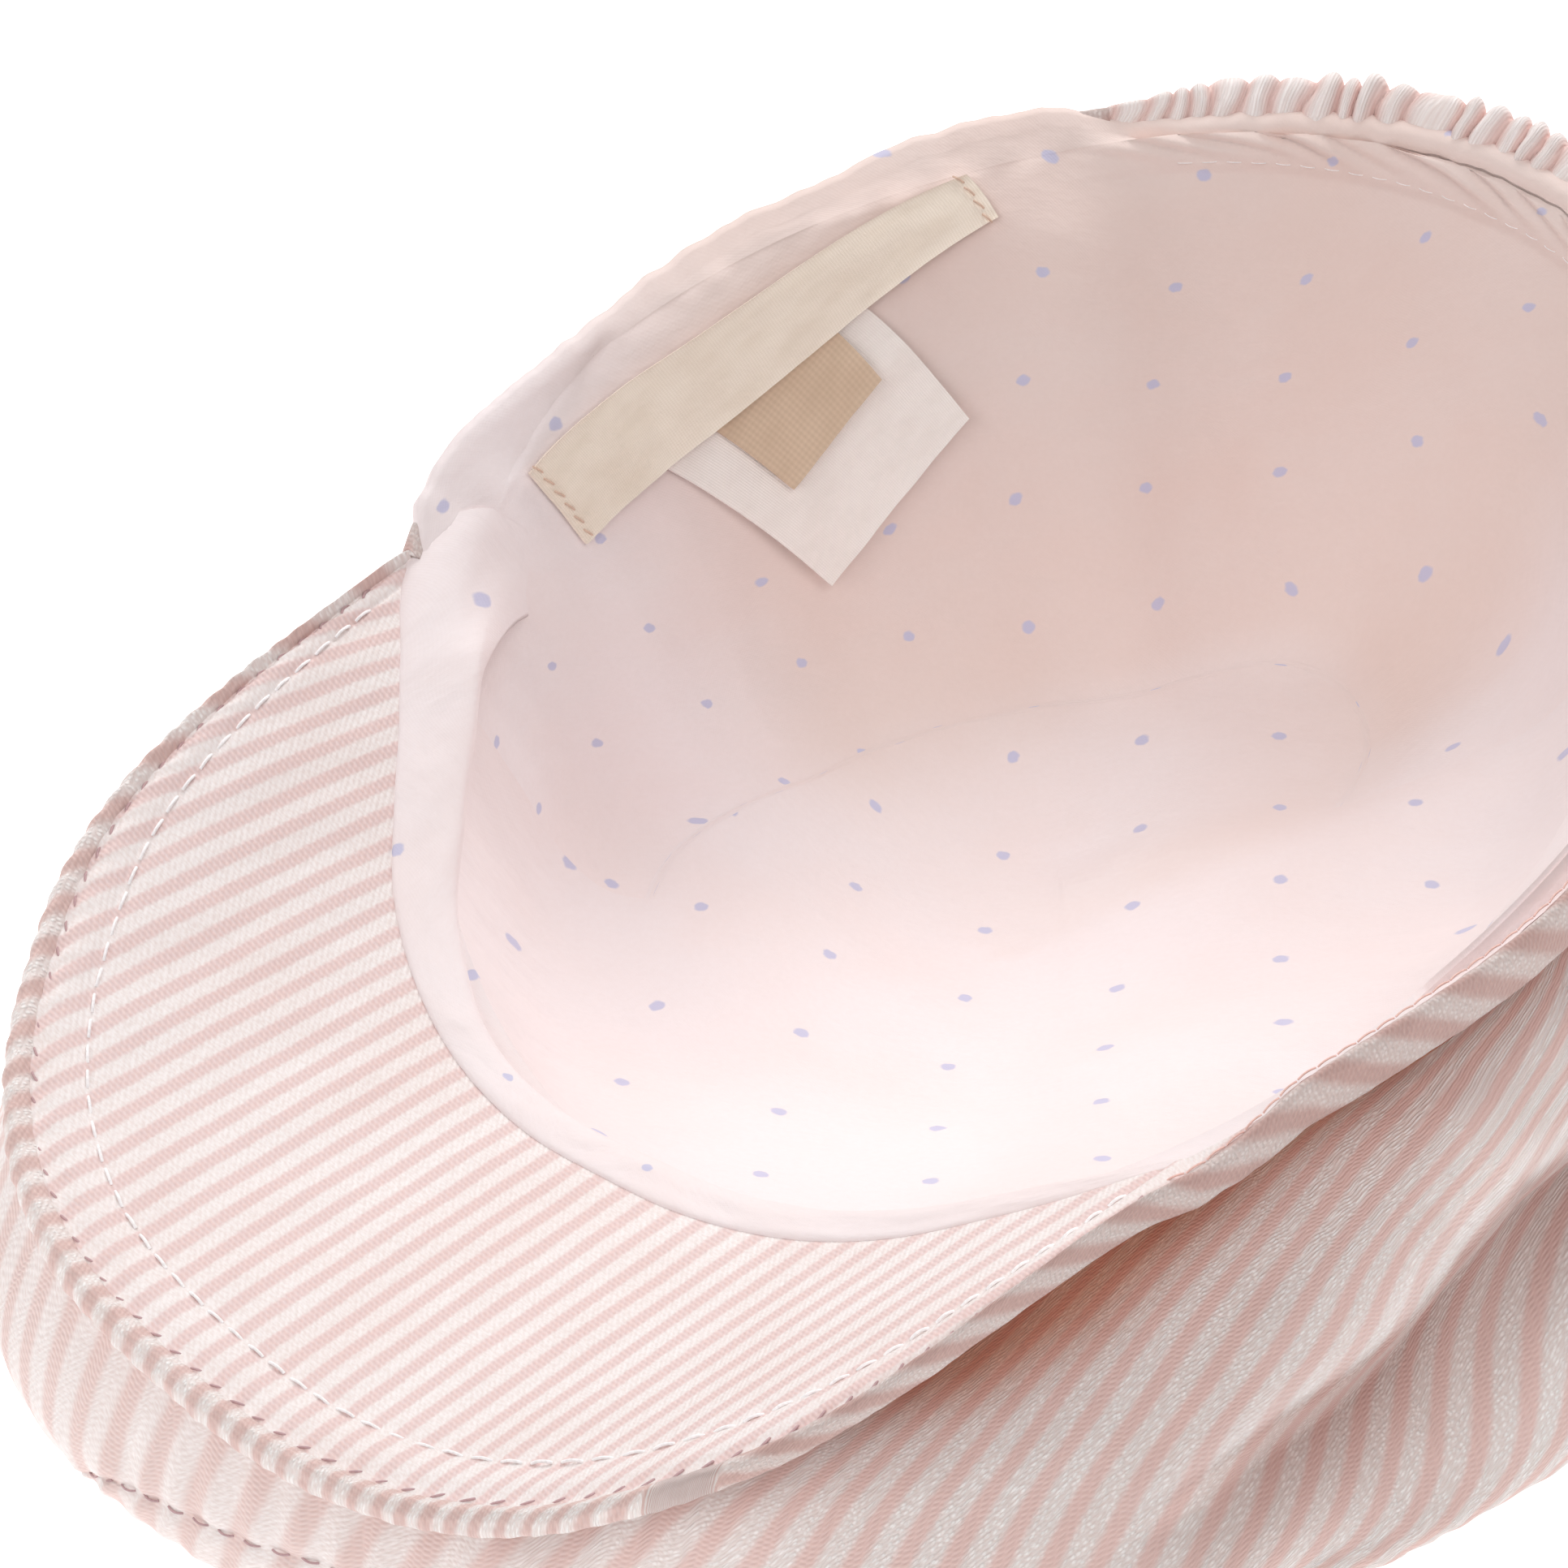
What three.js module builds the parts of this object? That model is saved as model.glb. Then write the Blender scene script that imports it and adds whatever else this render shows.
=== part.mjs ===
// Driver cap of striped cotton with a dotted lining, lying upside down on its crown.
// Millimetres, +Z up, visor towards -Y, floor at Z = 0.
// Angles run round the head opening in degrees: 0 at the visor, 90 at +X, 180 at the back.
// "out" is the distance outward from the opening's edge, measured level in plan.
import * as THREE from "three";

// ---- sizes of the head opening -------------------------------------------------------
const opening_half_width = 71.6;
const opening_front = 70.2;
const opening_back = 96.1;
const opening_height_front = 35.3;
const opening_height_side = 61.7;
const opening_height_back = 71.7;
const footprint_shift = [-3.22, 6.5]; // moves the middle of the footprint to X = Y = 0

// ---- cloth ---------------------------------------------------------------------------
const shell_cloth = 1.6;
const lining_cloth = 1.0;
const label_cloth = 0.8;
const seam_gap = 0.3;
const wall_length = 78; // from the crown wall's top edge to its low seam

// ---- rolled edge and gathered back ---------------------------------------------------
const roll_thickness = 3.0;
const roll_above = 3.8;
const roll_start = 62;
const back_start = 134;
const gather_count = 30;
const gather_depth = 0.7;
const back_puff = 1.4;
const back_rise = 1.6;

// ---- visor ---------------------------------------------------------------------------
const visor_corner = 61.5;
const visor_depth = 56;
const visor_half_width = 66.6;
const visor_roundness = 2.53;
const visor_tip_height = 42.2;
const visor_cloth = 2.2;
const visor_roll = 3.4;

// Shape of the crown wall at a few angles round the cap: [out, height] of its outer face.
// "tuck" is the hollow under the opening's edge, "drape" the slope below it and
// "belly" the widest place; "low" is how far the wall's top edge lies below the opening,
// and "under" how far the low seam lies inside the belly.
const CROWN_SECTIONS = [
  { angle: -160, low: 7.4, tuck: [-3.5, 56], drape: [6, 42], belly: [19, 20], under: 2.4 },
  { angle: -130, low: 5.6, tuck: [-3.0, 54], drape: [8, 41], belly: [21, 19], under: 2.4 },
  { angle: -90, low: 4.1, tuck: [-3.0, 50], drape: [6.5, 37], belly: [17.5, 17], under: 2.4 },
  { angle: -70, low: 4.1, tuck: [-3.0, 49], drape: [6, 36.5], belly: [17, 17], under: 2.4 },
  { angle: -50, low: 3.8, tuck: [4, 42], drape: [14, 35], belly: [25, 18], under: 2.4 },
  { angle: -30, low: 3.2, tuck: [12, 36], drape: [33, 38], belly: [47, 20], under: 2.4 },
  { angle: -14, low: 3.0, tuck: [15, 33], drape: [42, 37], belly: [58, 18], under: 2.8 },
  { angle: 6, low: 3.0, tuck: [15, 32], drape: [45, 36.5], belly: [56, 18], under: 7.0 },
  { angle: 30, low: 3.2, tuck: [10, 34.5], drape: [33, 36], belly: [45, 19], under: 6.0 },
  { angle: 60, low: 3.6, tuck: [-4.5, 44], drape: [15, 33], belly: [31, 18], under: 4.4 },
  { angle: 90, low: 4.1, tuck: [-5.5, 50], drape: [10, 39], belly: [25.5, 17], under: 4.0 },
  { angle: 130, low: 5.6, tuck: [-4.0, 55], drape: [9, 42], belly: [24, 18], under: 3.0 },
  { angle: 160, low: 7.4, tuck: [-3.0, 56], drape: [6, 42], belly: [20, 20], under: 2.4 },
];

// Shape of the lining's inside face at the same kind of angles.
const LINING_SECTIONS = [
  { angle: -160, edge: [-5.3, 71.2], ledge: [-10, 60], wall: [-19, 40], heel: [-27, 24], foot: -35 },
  { angle: -130, edge: [-4.6, 68.0], ledge: [-11, 61], wall: [-23, 43], heel: [-33, 25], foot: -42 },
  { angle: -90, edge: [-4.4, 64.2], ledge: [-11, 57], wall: [-20, 42], heel: [-27, 25], foot: -35 },
  { angle: -60, edge: [-6.4, 53.2], ledge: [-10, 46], wall: [-15, 35], heel: [-20, 22], foot: -27 },
  { angle: -30, edge: [-6.0, 39.6], ledge: [-9, 33], wall: [-12, 27], heel: [-17, 20], foot: -27 },
  { angle: 0, edge: [-5.5, 33.0], ledge: [-8, 28.5], wall: [-12, 24], heel: [-21, 19], foot: -38 },
  { angle: 30, edge: [-4.5, 39.6], ledge: [-8, 34], wall: [-12, 28], heel: [-23, 22], foot: -46 },
  { angle: 60, edge: [-5.2, 52.4], ledge: [-9.5, 45], wall: [-15, 34], heel: [-26, 25], foot: -54 },
  { angle: 90, edge: [-4.5, 64.0], ledge: [-11, 50], wall: [-16, 37], heel: [-28, 26], foot: -57 },
  { angle: 130, edge: [-4.6, 68.0], ledge: [-10.5, 57], wall: [-16, 41], heel: [-26, 26], foot: -48 },
  { angle: 160, edge: [-5.3, 71.2], ledge: [-10, 60], wall: [-18, 40], heel: [-26, 24], foot: -38 },
];

// Folds of the crown wall: a ridge or valley from one place to another.
// "reach" runs from 0 at the wall's top edge to 1 at the seam above the floor.
const CROWN_FOLDS = [
  { from: [112, 0.3], to: [84, 0.42], width: 7, height: 4.5 },
  { from: [84, 0.42], to: [56, 0.68], width: 7, height: 4.5 },
  { from: [96, 0.52], to: [60, 0.8], width: 6, height: -3 },
  { from: [20, 0.62], to: [15, 1.0], width: 4, height: 2.6 },
  { from: [150, 0.25], to: [122, 0.85], width: 8, height: 3 },
  { from: [-172, 0.3], to: [-158, 0.9], width: 8, height: 3 },
  { from: [-138, 0.25], to: [-116, 0.8], width: 8, height: 3.4 },
  { from: [-112, 0.3], to: [-94, 0.7], width: 9, height: 2 },
  { from: [-84, 0.62], to: [-62, 0.95], width: 7, height: -2.4 },
];

// Folds of the lining, each along a line from one place to another in plan, [x, y].
const LINING_FOLDS = [
  { from: [-44, -11], to: [-24, 27], width: 6, height: 2.2 },
  { from: [-6, 13], to: [16, 39], width: 10, height: 2.6 },
  { from: [30, -11], to: [44, 23], width: 9, height: 2.4 },
  { from: [-22, -21], to: [4, -5], width: 9, height: 1.6 },
  { from: [4, 63], to: [26, 53], width: 8, height: 2.4 },
  { from: [-46, 53], to: [-28, 45], width: 8, height: 2.0 },
  { from: [18, -37], to: [34, -25], width: 9, height: 1.6 },
];

// ---- colours of the cloths -----------------------------------------------------------
const striped_cotton = new THREE.MeshStandardMaterial({ color: "#ecd2cb", roughness: 0.9 });
const dotted_lining = new THREE.MeshStandardMaterial({ color: "#f3e1da", roughness: 0.9 });
const woven_label = new THREE.MeshStandardMaterial({ color: "#e4d2bf", roughness: 0.7 });
const tan_label = new THREE.MeshStandardMaterial({ color: "#cbb69c", roughness: 0.7 });
const white_label = new THREE.MeshStandardMaterial({ color: "#f1ebe6", roughness: 0.6 });

// ---- small helpers -------------------------------------------------------------------
const radians = (degrees) => (degrees * Math.PI) / 180;
const mix = (a, b, k) => a + (b - a) * k;
const clamp01 = (k) => Math.min(1, Math.max(0, k));
const smooth = (k) => clamp01(k) ** 2 * (3 - 2 * clamp01(k));

// Catmull-Rom blend of four equally spaced values.
function blend(a, b, c, d, k) {
  const linear = c - a;
  const square = 2 * a - 5 * b + 4 * c - d;
  const cube = 3 * b - a - 3 * c + d;
  return b + 0.5 * k * (linear + k * (square + k * cube));
}

// Value of one column of a table of sections at any angle, eased from row to row.
function fromTable(table, angle, read) {
  const turn = ((angle + 180) % 360 + 360) % 360 - 180;
  let row = table.length - 1;
  for (let i = 0; i < table.length; i += 1) {
    if (table[i].angle <= turn) {
      row = i;
    }
  }
  if (turn < table[0].angle) {
    row = table.length - 1;
  }
  const pick = (i) => table[(i + table.length) % table.length];
  const start = pick(row).angle;
  const span = ((pick(row + 1).angle - start) + 360) % 360;
  const k = (((turn - start) + 360) % 360) / span;
  return blend(read(pick(row - 1)), read(pick(row)), read(pick(row + 1)), read(pick(row + 2)), k);
}

function openingHeight(angle) {
  const c = Math.cos(radians(angle));
  const end = c > 0 ? opening_height_front : opening_height_back;
  return mix(opening_height_side, end, c * c);
}

// Point at a distance outward from the opening's edge and at a height.
function place(angle, out, height) {
  const s = Math.sin(radians(angle));
  const c = Math.cos(radians(angle));
  const length = c > 0 ? opening_front : opening_back;
  const normal = new THREE.Vector2(s / opening_half_width, -c / length).normalize();
  return new THREE.Vector3(
    opening_half_width * s + normal.x * out,
    -length * c + normal.y * out,
    height,
  );
}

// Point of an open curve through a list of [out, height] pairs, k from 0 to 1.
function alongCurve(points, k) {
  const last = points.length - 1;
  const at = Math.min(last - 1e-9, Math.max(0, k * last));
  const i = Math.floor(at);
  const pick = (j) => points[Math.min(last, Math.max(0, j))];
  const axis = (n) => blend(pick(i - 1)[n], pick(i)[n], pick(i + 1)[n], pick(i + 2)[n], at - i);
  return [axis(0), axis(1)];
}

// Height of a rounded ridge along the line from the origin to "line", seen from "at".
function ridge(at, line, width, height) {
  const k = clamp01(at.dot(line) / line.lengthSq());
  const away = at.distanceTo(line.clone().multiplyScalar(k)) / width;
  return height * Math.exp(-away * away);
}

// Height of the crown wall's folds at an angle and a reach.
function crownFolds(angle, reach) {
  let sum = 0;
  for (const fold of CROWN_FOLDS) {
    const turn = ((angle - fold.from[0] + 540) % 360) - 180;
    const at = new THREE.Vector2(turn * 1.5, (reach - fold.from[1]) * wall_length);
    const line = new THREE.Vector2(
      (fold.to[0] - fold.from[0]) * 1.5,
      (fold.to[1] - fold.from[1]) * wall_length,
    );
    sum += ridge(at, line, fold.width, fold.height);
  }
  return sum;
}

// Height of the lining's folds at a place in plan.
function liningFolds(point) {
  let sum = 0;
  for (const fold of LINING_FOLDS) {
    const from = new THREE.Vector2(...fold.from);
    const at = new THREE.Vector2(point.x, point.y).sub(from);
    sum += ridge(at, new THREE.Vector2(...fold.to).sub(from), fold.width, fold.height);
  }
  return sum;
}

// ---- closed meshes -------------------------------------------------------------------
function meshOf(name, material, points, triangles) {
  const geometry = new THREE.BufferGeometry();
  geometry.setAttribute("position", new THREE.Float32BufferAttribute(points.flatMap((p) => [p.x, p.y, p.z]), 3));
  geometry.setIndex(triangles);
  geometry.translate(footprint_shift[0], footprint_shift[1], 0);
  geometry.computeVertexNormals();
  const mesh = new THREE.Mesh(geometry, material);
  mesh.name = name;
  return mesh;
}

// Signed volume of a closed mesh; positive when its faces look outward.
function signedVolume(points, triangles) {
  let sum = 0;
  for (let i = 0; i < triangles.length; i += 3) {
    const [a, b, c] = [points[triangles[i]], points[triangles[i + 1]], points[triangles[i + 2]]];
    sum += a.dot(new THREE.Vector3().crossVectors(b, c)) / 6;
  }
  return sum;
}

function outward(points, triangles) {
  if (signedVolume(points, triangles) < 0) {
    for (let i = 0; i < triangles.length; i += 3) {
      [triangles[i], triangles[i + 1]] = [triangles[i + 1], triangles[i]];
    }
  }
  return triangles;
}

// Solid between a front sheet and a back sheet, both rows x columns of points.
// A ring closes each row on itself; a centre point closes the last row into a disc.
function sheetSolid(name, material, front, back, { ring = false, centre = null } = {}) {
  const rows = front.length;
  const columns = front[0].length;
  const points = [...front.flat(), ...back.flat()];
  const triangles = [];
  const at = (side, i, j) => side * rows * columns + i * columns + (j % columns);
  const quad = (a, b, c, d) => triangles.push(a, b, c, a, c, d);
  const spans = ring ? columns : columns - 1;
  for (let j = 0; j < spans; j += 1) {
    for (let i = 0; i < rows - 1; i += 1) {
      quad(at(0, i, j), at(0, i, j + 1), at(0, i + 1, j + 1), at(0, i + 1, j));
      quad(at(1, i, j), at(1, i + 1, j), at(1, i + 1, j + 1), at(1, i, j + 1));
    }
    quad(at(0, 0, j + 1), at(0, 0, j), at(1, 0, j), at(1, 0, j + 1));
    if (centre === null) {
      quad(at(0, rows - 1, j), at(0, rows - 1, j + 1), at(1, rows - 1, j + 1), at(1, rows - 1, j));
    }
  }
  if (!ring) {
    for (let i = 0; i < rows - 1; i += 1) {
      const end = columns - 1;
      quad(at(0, i, 0), at(0, i + 1, 0), at(1, i + 1, 0), at(1, i, 0));
      quad(at(0, i + 1, end), at(0, i, end), at(1, i, end), at(1, i + 1, end));
    }
  }
  if (centre !== null) {
    const middle = points.push(centre[0], centre[1]) - 2;
    for (let j = 0; j < spans; j += 1) {
      triangles.push(at(0, rows - 1, j), at(0, rows - 1, j + 1), middle);
      triangles.push(at(1, rows - 1, j + 1), at(1, rows - 1, j), middle + 1);
    }
  }
  return meshOf(name, material, points, outward(points, triangles));
}

// Solid swept through closed outlines, with flat ends.
function sweptSolid(name, material, outlines) {
  const count = outlines[0].length;
  const points = outlines.flat();
  const triangles = [];
  for (let i = 0; i < outlines.length - 1; i += 1) {
    for (let j = 0; j < count; j += 1) {
      const a = i * count + j;
      const b = i * count + ((j + 1) % count);
      triangles.push(a, b, b + count, a, b + count, a + count);
    }
  }
  const last = (outlines.length - 1) * count;
  for (const [a, b, c] of flatEnd(outlines[0])) {
    triangles.push(c, b, a);
  }
  for (const [a, b, c] of flatEnd(outlines[outlines.length - 1])) {
    triangles.push(last + a, last + b, last + c);
  }
  return meshOf(name, material, points, outward(points, triangles));
}

// Triangles of a flat closed outline in space.
function flatEnd(outline) {
  const middle = outline.reduce((sum, p) => sum.add(p), new THREE.Vector3()).divideScalar(outline.length);
  const normal = new THREE.Vector3();
  outline.forEach((p, i) => {
    const q = outline[(i + 1) % outline.length];
    normal.add(new THREE.Vector3().crossVectors(p.clone().sub(middle), q.clone().sub(middle)));
  });
  normal.normalize();
  const across = new THREE.Vector3().crossVectors(normal, new THREE.Vector3(0.3, 0.2, 0.93)).normalize();
  const along = new THREE.Vector3().crossVectors(normal, across);
  const flat = outline.map((p) => new THREE.Vector2(p.dot(across), p.dot(along)));
  return THREE.ShapeUtils.triangulateShape(flat, []);
}

// ---- crown ---------------------------------------------------------------------------
function crownCurve(angle) {
  const read = (name, n) => fromTable(CROWN_SECTIONS, angle, (row) => row[name][n]);
  const low = fromTable(CROWN_SECTIONS, angle, (row) => row.low);
  const belly = [read("belly", 0), read("belly", 1)];
  const seam = belly[0] - fromTable(CROWN_SECTIONS, angle, (row) => row.under);
  return [
    [fromTable(CROWN_SECTIONS, angle, (row) => (Math.abs(row.angle) < 45 ? 0.5 : -0.6)), openingHeight(angle) - low],
    [read("tuck", 0), read("tuck", 1)],
    [read("drape", 0), read("drape", 1)],
    belly,
    [seam, 8.5],
    [seam - 5.1, 2.3],
    [seam - 13.6, 0],
  ];
}

// Front or back face of the crown wall; reach is 0 at the top edge, 1 at the low seam.
function crownPoint(angle, reach, depth) {
  const curve = crownCurve(angle);
  const k = reach * (4 / 6);
  const [out, height] = alongCurve(curve, k);
  const [out_a, height_a] = alongCurve(curve, k - 0.01);
  const [out_b, height_b] = alongCurve(curve, k + 0.01);
  const normal = new THREE.Vector2(height_a - height_b, out_b - out_a).normalize();
  const fade = smooth(reach / 0.2) * (1 - 0.6 * smooth((reach - 0.8) / 0.2));
  const low = clamp01((reach - 1) / 0.3);
  const lift = crownFolds(angle, Math.min(reach, 1)) * fade * (1 - low);
  const move = lift - depth;
  const edge_height = openingHeight(angle) - fromTable(CROWN_SECTIONS, angle, (row) => row.low);
  const ceiling = edge_height + 25 * smooth(reach / 0.4);
  const raised = Math.max(height + normal.y * move, depth);
  return place(angle, out + normal.x * move, Math.min(raised, ceiling));
}

function crownPanel(name, start, end) {
  const columns = Math.max(4, Math.round((end - start) / 5));
  const reaches = [0, 0.12, 0.25, 0.37, 0.5, 0.62, 0.75, 0.88, 1 - 0.003];
  const face = (depth) => reaches.map((reach) => {
    const row = [];
    for (let j = 0; j <= columns; j += 1) {
      row.push(crownPoint(mix(start + 0.1, end - 0.1, j / columns), reach, depth));
    }
    return row;
  });
  return sheetSolid(name, striped_cotton, face(0), face(shell_cloth));
}

function crownTop() {
  const columns = 60;
  const reaches = [1.003, 1.15, 1.3, 1.5];
  const middle = (depth) => new THREE.Vector3(0, -6, depth);
  const face = (depth) => {
    const rows = reaches.map((reach) => {
      const row = [];
      for (let j = 0; j < columns; j += 1) {
        row.push(crownPoint(-180 + (360 * j) / columns, reach, depth));
      }
      return row;
    });
    for (const k of [0.45]) {
      rows.push(rows[3].map((p) => p.clone().lerp(middle(depth), k)));
    }
    return rows;
  };
  const centre = [middle(0), middle(shell_cloth)];
  return sheetSolid("crown_top", striped_cotton, face(0), face(shell_cloth), { ring: true, centre });
}

// ---- lining --------------------------------------------------------------------------
const lining_floor = 9;
const lining_middle = [-8, 17];

// Point of the lining, lifted off its inside face; reach is 0 at the edge and 1 at the
// foot of the wall, and from 1 to 2 it crosses the floor to the middle.
function liningPoint(angle, reach, lift) {
  const read = (name, n) => fromTable(LINING_SECTIONS, angle, (row) => row[name][n]);
  const foot = fromTable(LINING_SECTIONS, angle, (row) => row.foot);
  const curve = ["edge", "ledge", "wall", "heel"].map((name) => [read(name, 0), read(name, 1)]);
  curve.push([foot, lining_floor + 3.5], [foot - 10, lining_floor]);
  const k = Math.min(reach, 1) * (4 / 5);
  const [out, height] = alongCurve(curve, k);
  const [out_a, height_a] = alongCurve(curve, k - 0.01);
  const [out_b, height_b] = alongCurve(curve, k + 0.01);
  const normal = new THREE.Vector2(height_b - height_a, out_a - out_b).normalize();
  const floor = clamp01(reach - 1);
  const fold = liningFolds(place(angle, out, height)) * smooth(reach / 0.35);
  const move = lift + fold * (1 - smooth(floor / 0.2));
  const point = place(angle, out + normal.x * move, height + normal.y * move);
  if (floor > 0) {
    point.x = mix(point.x, lining_middle[0], floor);
    point.y = mix(point.y, lining_middle[1], floor);
    const sag = mix(height, lining_floor, smooth(floor * 1.2));
    point.z = sag + lift + liningFolds(point) * smooth((1 - floor) / 0.3);
  }
  return point;
}

function lining() {
  const columns = 60;
  const reaches = [0, 0.12, 0.25, 0.4, 0.55, 0.7, 0.85, 1, 1.2, 1.4, 1.6, 1.8];
  const face = (depth) => reaches.map((reach) => {
    const row = [];
    for (let j = 0; j < columns; j += 1) {
      row.push(liningPoint(-180 + (360 * j) / columns, reach, -depth));
    }
    return row;
  });
  const centre = [liningPoint(0, 2, 0), liningPoint(0, 2, -lining_cloth)];
  return sheetSolid("lining", dotted_lining, face(0), face(lining_cloth), { ring: true, centre });
}

// ---- rolled edge at the sides --------------------------------------------------------
// Outline of the edge at one angle: an upright band, rounded above.
function bandOutline(angle, { outer, thickness, low, high }) {
  const top = openingHeight(angle) + high;
  const bottom = openingHeight(angle) - low;
  const inner = outer - thickness;
  const corners = [
    [outer - 0.3, bottom], [outer, bottom + 0.8], [outer, mix(bottom, top, 0.55)],
    [outer - thickness * 0.2, top - 0.8], [outer - thickness * 0.5, top],
    [inner + thickness * 0.15, top - 0.5], [inner, mix(bottom, top, 0.6)],
    [inner, bottom + 0.8], [inner + 0.3, bottom],
  ];
  return corners.map(([out, height]) => place(angle, out, height));
}

function bandLow(angle) {
  return fromTable(CROWN_SECTIONS, angle, (row) => row.low) - seam_gap;
}

function rolledEdge(name, start, end) {
  const steps = Math.round(Math.abs(end - start) / 4);
  const outlines = [];
  for (let i = 0; i <= steps; i += 1) {
    const angle = mix(start, end, i / steps);
    const rise = smooth((Math.abs(angle) - roll_start + 3) / 13);
    const high = mix(0.8, roll_above, rise);
    outlines.push(bandOutline(angle, { outer: 0, thickness: roll_thickness, low: bandLow(angle), high }));
  }
  return sweptSolid(name, striped_cotton, outlines);
}

// ---- gathered elastic back -----------------------------------------------------------
function gatheredBack() {
  const steps = gather_count * 4;
  const outlines = [];
  for (let i = 0; i <= steps; i += 1) {
    const angle = mix(back_start + 0.2, 360 - back_start - 0.2, i / steps);
    const ease = smooth((i / steps) / 0.12) * smooth((1 - i / steps) / 0.12);
    const wave = Math.sin((2 * Math.PI * gather_count * i) / steps + 0.6);
    const puff = ease * (back_puff + gather_depth * wave);
    outlines.push(bandOutline(angle, {
      outer: puff,
      thickness: roll_thickness + puff + 0.8 * ease,
      low: bandLow(angle),
      high: roll_above + ease * (back_rise + gather_depth * wave),
    }));
  }
  return sweptSolid("elastic_back", striped_cotton, outlines);
}

// ---- visor ---------------------------------------------------------------------------
// Point of the visor's outer edge, side from -1 to 1.
function visorEdge(side) {
  const corner = place(visor_corner, -0.4, openingHeight(visor_corner));
  const s = Math.sin(radians(side * 90));
  const c = Math.cos(radians(side * 90));
  const power = 2 / visor_roundness;
  const reach = corner.y + opening_front + visor_depth;
  const rise = corner.z - visor_tip_height;
  const width = mix(visor_half_width, corner.x, smooth((Math.abs(side) - 0.6) / 0.4));
  return new THREE.Vector3(
    width * Math.sign(s) * Math.abs(s) ** power,
    corner.y - reach * Math.max(0, c) ** power,
    visor_tip_height + rise * Math.abs(s) ** 2.11 - 2.1 * Math.sin(2 * radians(side * 90)) ** 2,
  );
}

// Point of the visor's inner edge, along the opening; it draws in at the corners.
function visorSeam(side) {
  const angle = side * visor_corner;
  const draw_in = -3.2 * smooth((Math.abs(angle) - 46) / 15);
  return place(angle, draw_in, openingHeight(angle));
}

function visor() {
  const steps = 44;
  const outlines = [];
  for (let i = 0; i <= steps; i += 1) {
    const ease = Math.sin(radians(mix(-90, 90, i / steps)));
    const side = mix(mix(-1, 1, i / steps), ease, 0.35) * 0.995;
    const inner = visorSeam(side);
    const outer = visorEdge(side);
    const across = outer.clone().sub(inner);
    const width = across.length();
    across.divideScalar(width);
    const along = new THREE.Vector3().crossVectors(across, new THREE.Vector3(0, 0, 1)).normalize();
    const up = new THREE.Vector3().crossVectors(along, across).normalize();
    const roll = Math.min(visor_roll, width * 0.5);
    const size = roll / visor_roll;
    const rise = 0.6 * smooth(width / 40);
    const lower = -visor_cloth;
    const outline = [
      [0.3 * size, 0],
      [(width - roll) * 0.35, rise],
      [(width - roll) * 0.7, rise],
      [width - roll - 0.8 * size, 0.1],
      [width - roll, -0.3],
      [width - roll * 0.75, 0.5],
      [width - roll * 0.4, 0.6],
      [width - roll * 0.08, -0.1],
      [width, -1.1],
      [width - roll * 0.12, -2.2],
      [width - roll * 0.45, -2.8],
      [width - roll * 0.9, lower],
      [(width - roll) * 0.6, lower + rise],
      [0.3 * size, lower],
    ];
    outlines.push(outline.map(([d, h]) => inner.clone().addScaledVector(across, d).addScaledVector(up, h)));
  }
  return sweptSolid("visor", striped_cotton, outlines);
}

// ---- facing band at the front of the lining ------------------------------------------
const FACING_WIDTHS = [
  { angle: -67, width: 7 },
  { angle: -60, width: 10 },
  { angle: -45, width: 9.4 },
  { angle: -15, width: 8 },
  { angle: 15, width: 7 },
  { angle: 40, width: 5 },
  { angle: 52, width: 3.4 },
];

function facing() {
  const start = FACING_WIDTHS[0].angle;
  const end = FACING_WIDTHS[FACING_WIDTHS.length - 1].angle;
  const steps = 28;
  const outlines = [];
  for (let i = 0; i <= steps; i += 1) {
    const angle = mix(start, end, i / steps);
    const row = Math.max(0, FACING_WIDTHS.findLastIndex((r) => r.angle <= angle && r.angle < end));
    const [a, b] = [FACING_WIDTHS[row], FACING_WIDTHS[row + 1]];
    const width = mix(a.width, b.width, (angle - a.angle) / (b.angle - a.angle));
    const inner_edge = -seam_gap - 3.2 * smooth((Math.abs(angle) - 46) / 15);
    const top = openingHeight(angle) + 0.2;
    const outline = [
      [inner_edge, top - 0.2], [inner_edge - width * 0.5, top + 0.4], [inner_edge - width + 0.5, top],
      [inner_edge - width, top - 0.7], [inner_edge - width + 0.5, top - 1.3],
      [inner_edge - width * 0.5, top - 0.9], [inner_edge, top - 1.4],
    ];
    outlines.push(outline.map(([out, height]) => place(angle, out, height)));
  }
  return sweptSolid("front_facing", dotted_lining, outlines);
}

// ---- labels on the lining ------------------------------------------------------------
// A label is a strip lying on the lining between two angles and two reaches. "bow" lifts
// its middle clear of the cloth, "sag" lets its lower edge hang, "flare" lifts that edge
// and "clear" holds the whole of it off what lies below.
function label(name, material, { angles, reaches, bow, sag, flare, clear, columns, rows }) {
  const face = (depth) => {
    const grid = [];
    for (let i = 0; i <= rows; i += 1) {
      const row = [];
      for (let j = 0; j <= columns; j += 1) {
        const k = j / columns;
        const down = i / rows;
        const middle = Math.sin(Math.PI * k);
        const reach = mix(mix(reaches[0][0], reaches[0][1], k), mix(reaches[1][0], reaches[1][1], k), down);
        const angle = mix(mix(angles[0][0], angles[0][1], k), mix(angles[1][0], angles[1][1], k), down);
        const lift = clear + bow * middle + flare * down ** 2;
        row.push(liningPoint(angle, reach + sag * down * middle, lift + label_cloth - depth));
      }
      grid.push(row);
    }
    return grid;
  };
  return sheetSolid(name, material, face(0), face(label_cloth));
}

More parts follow.
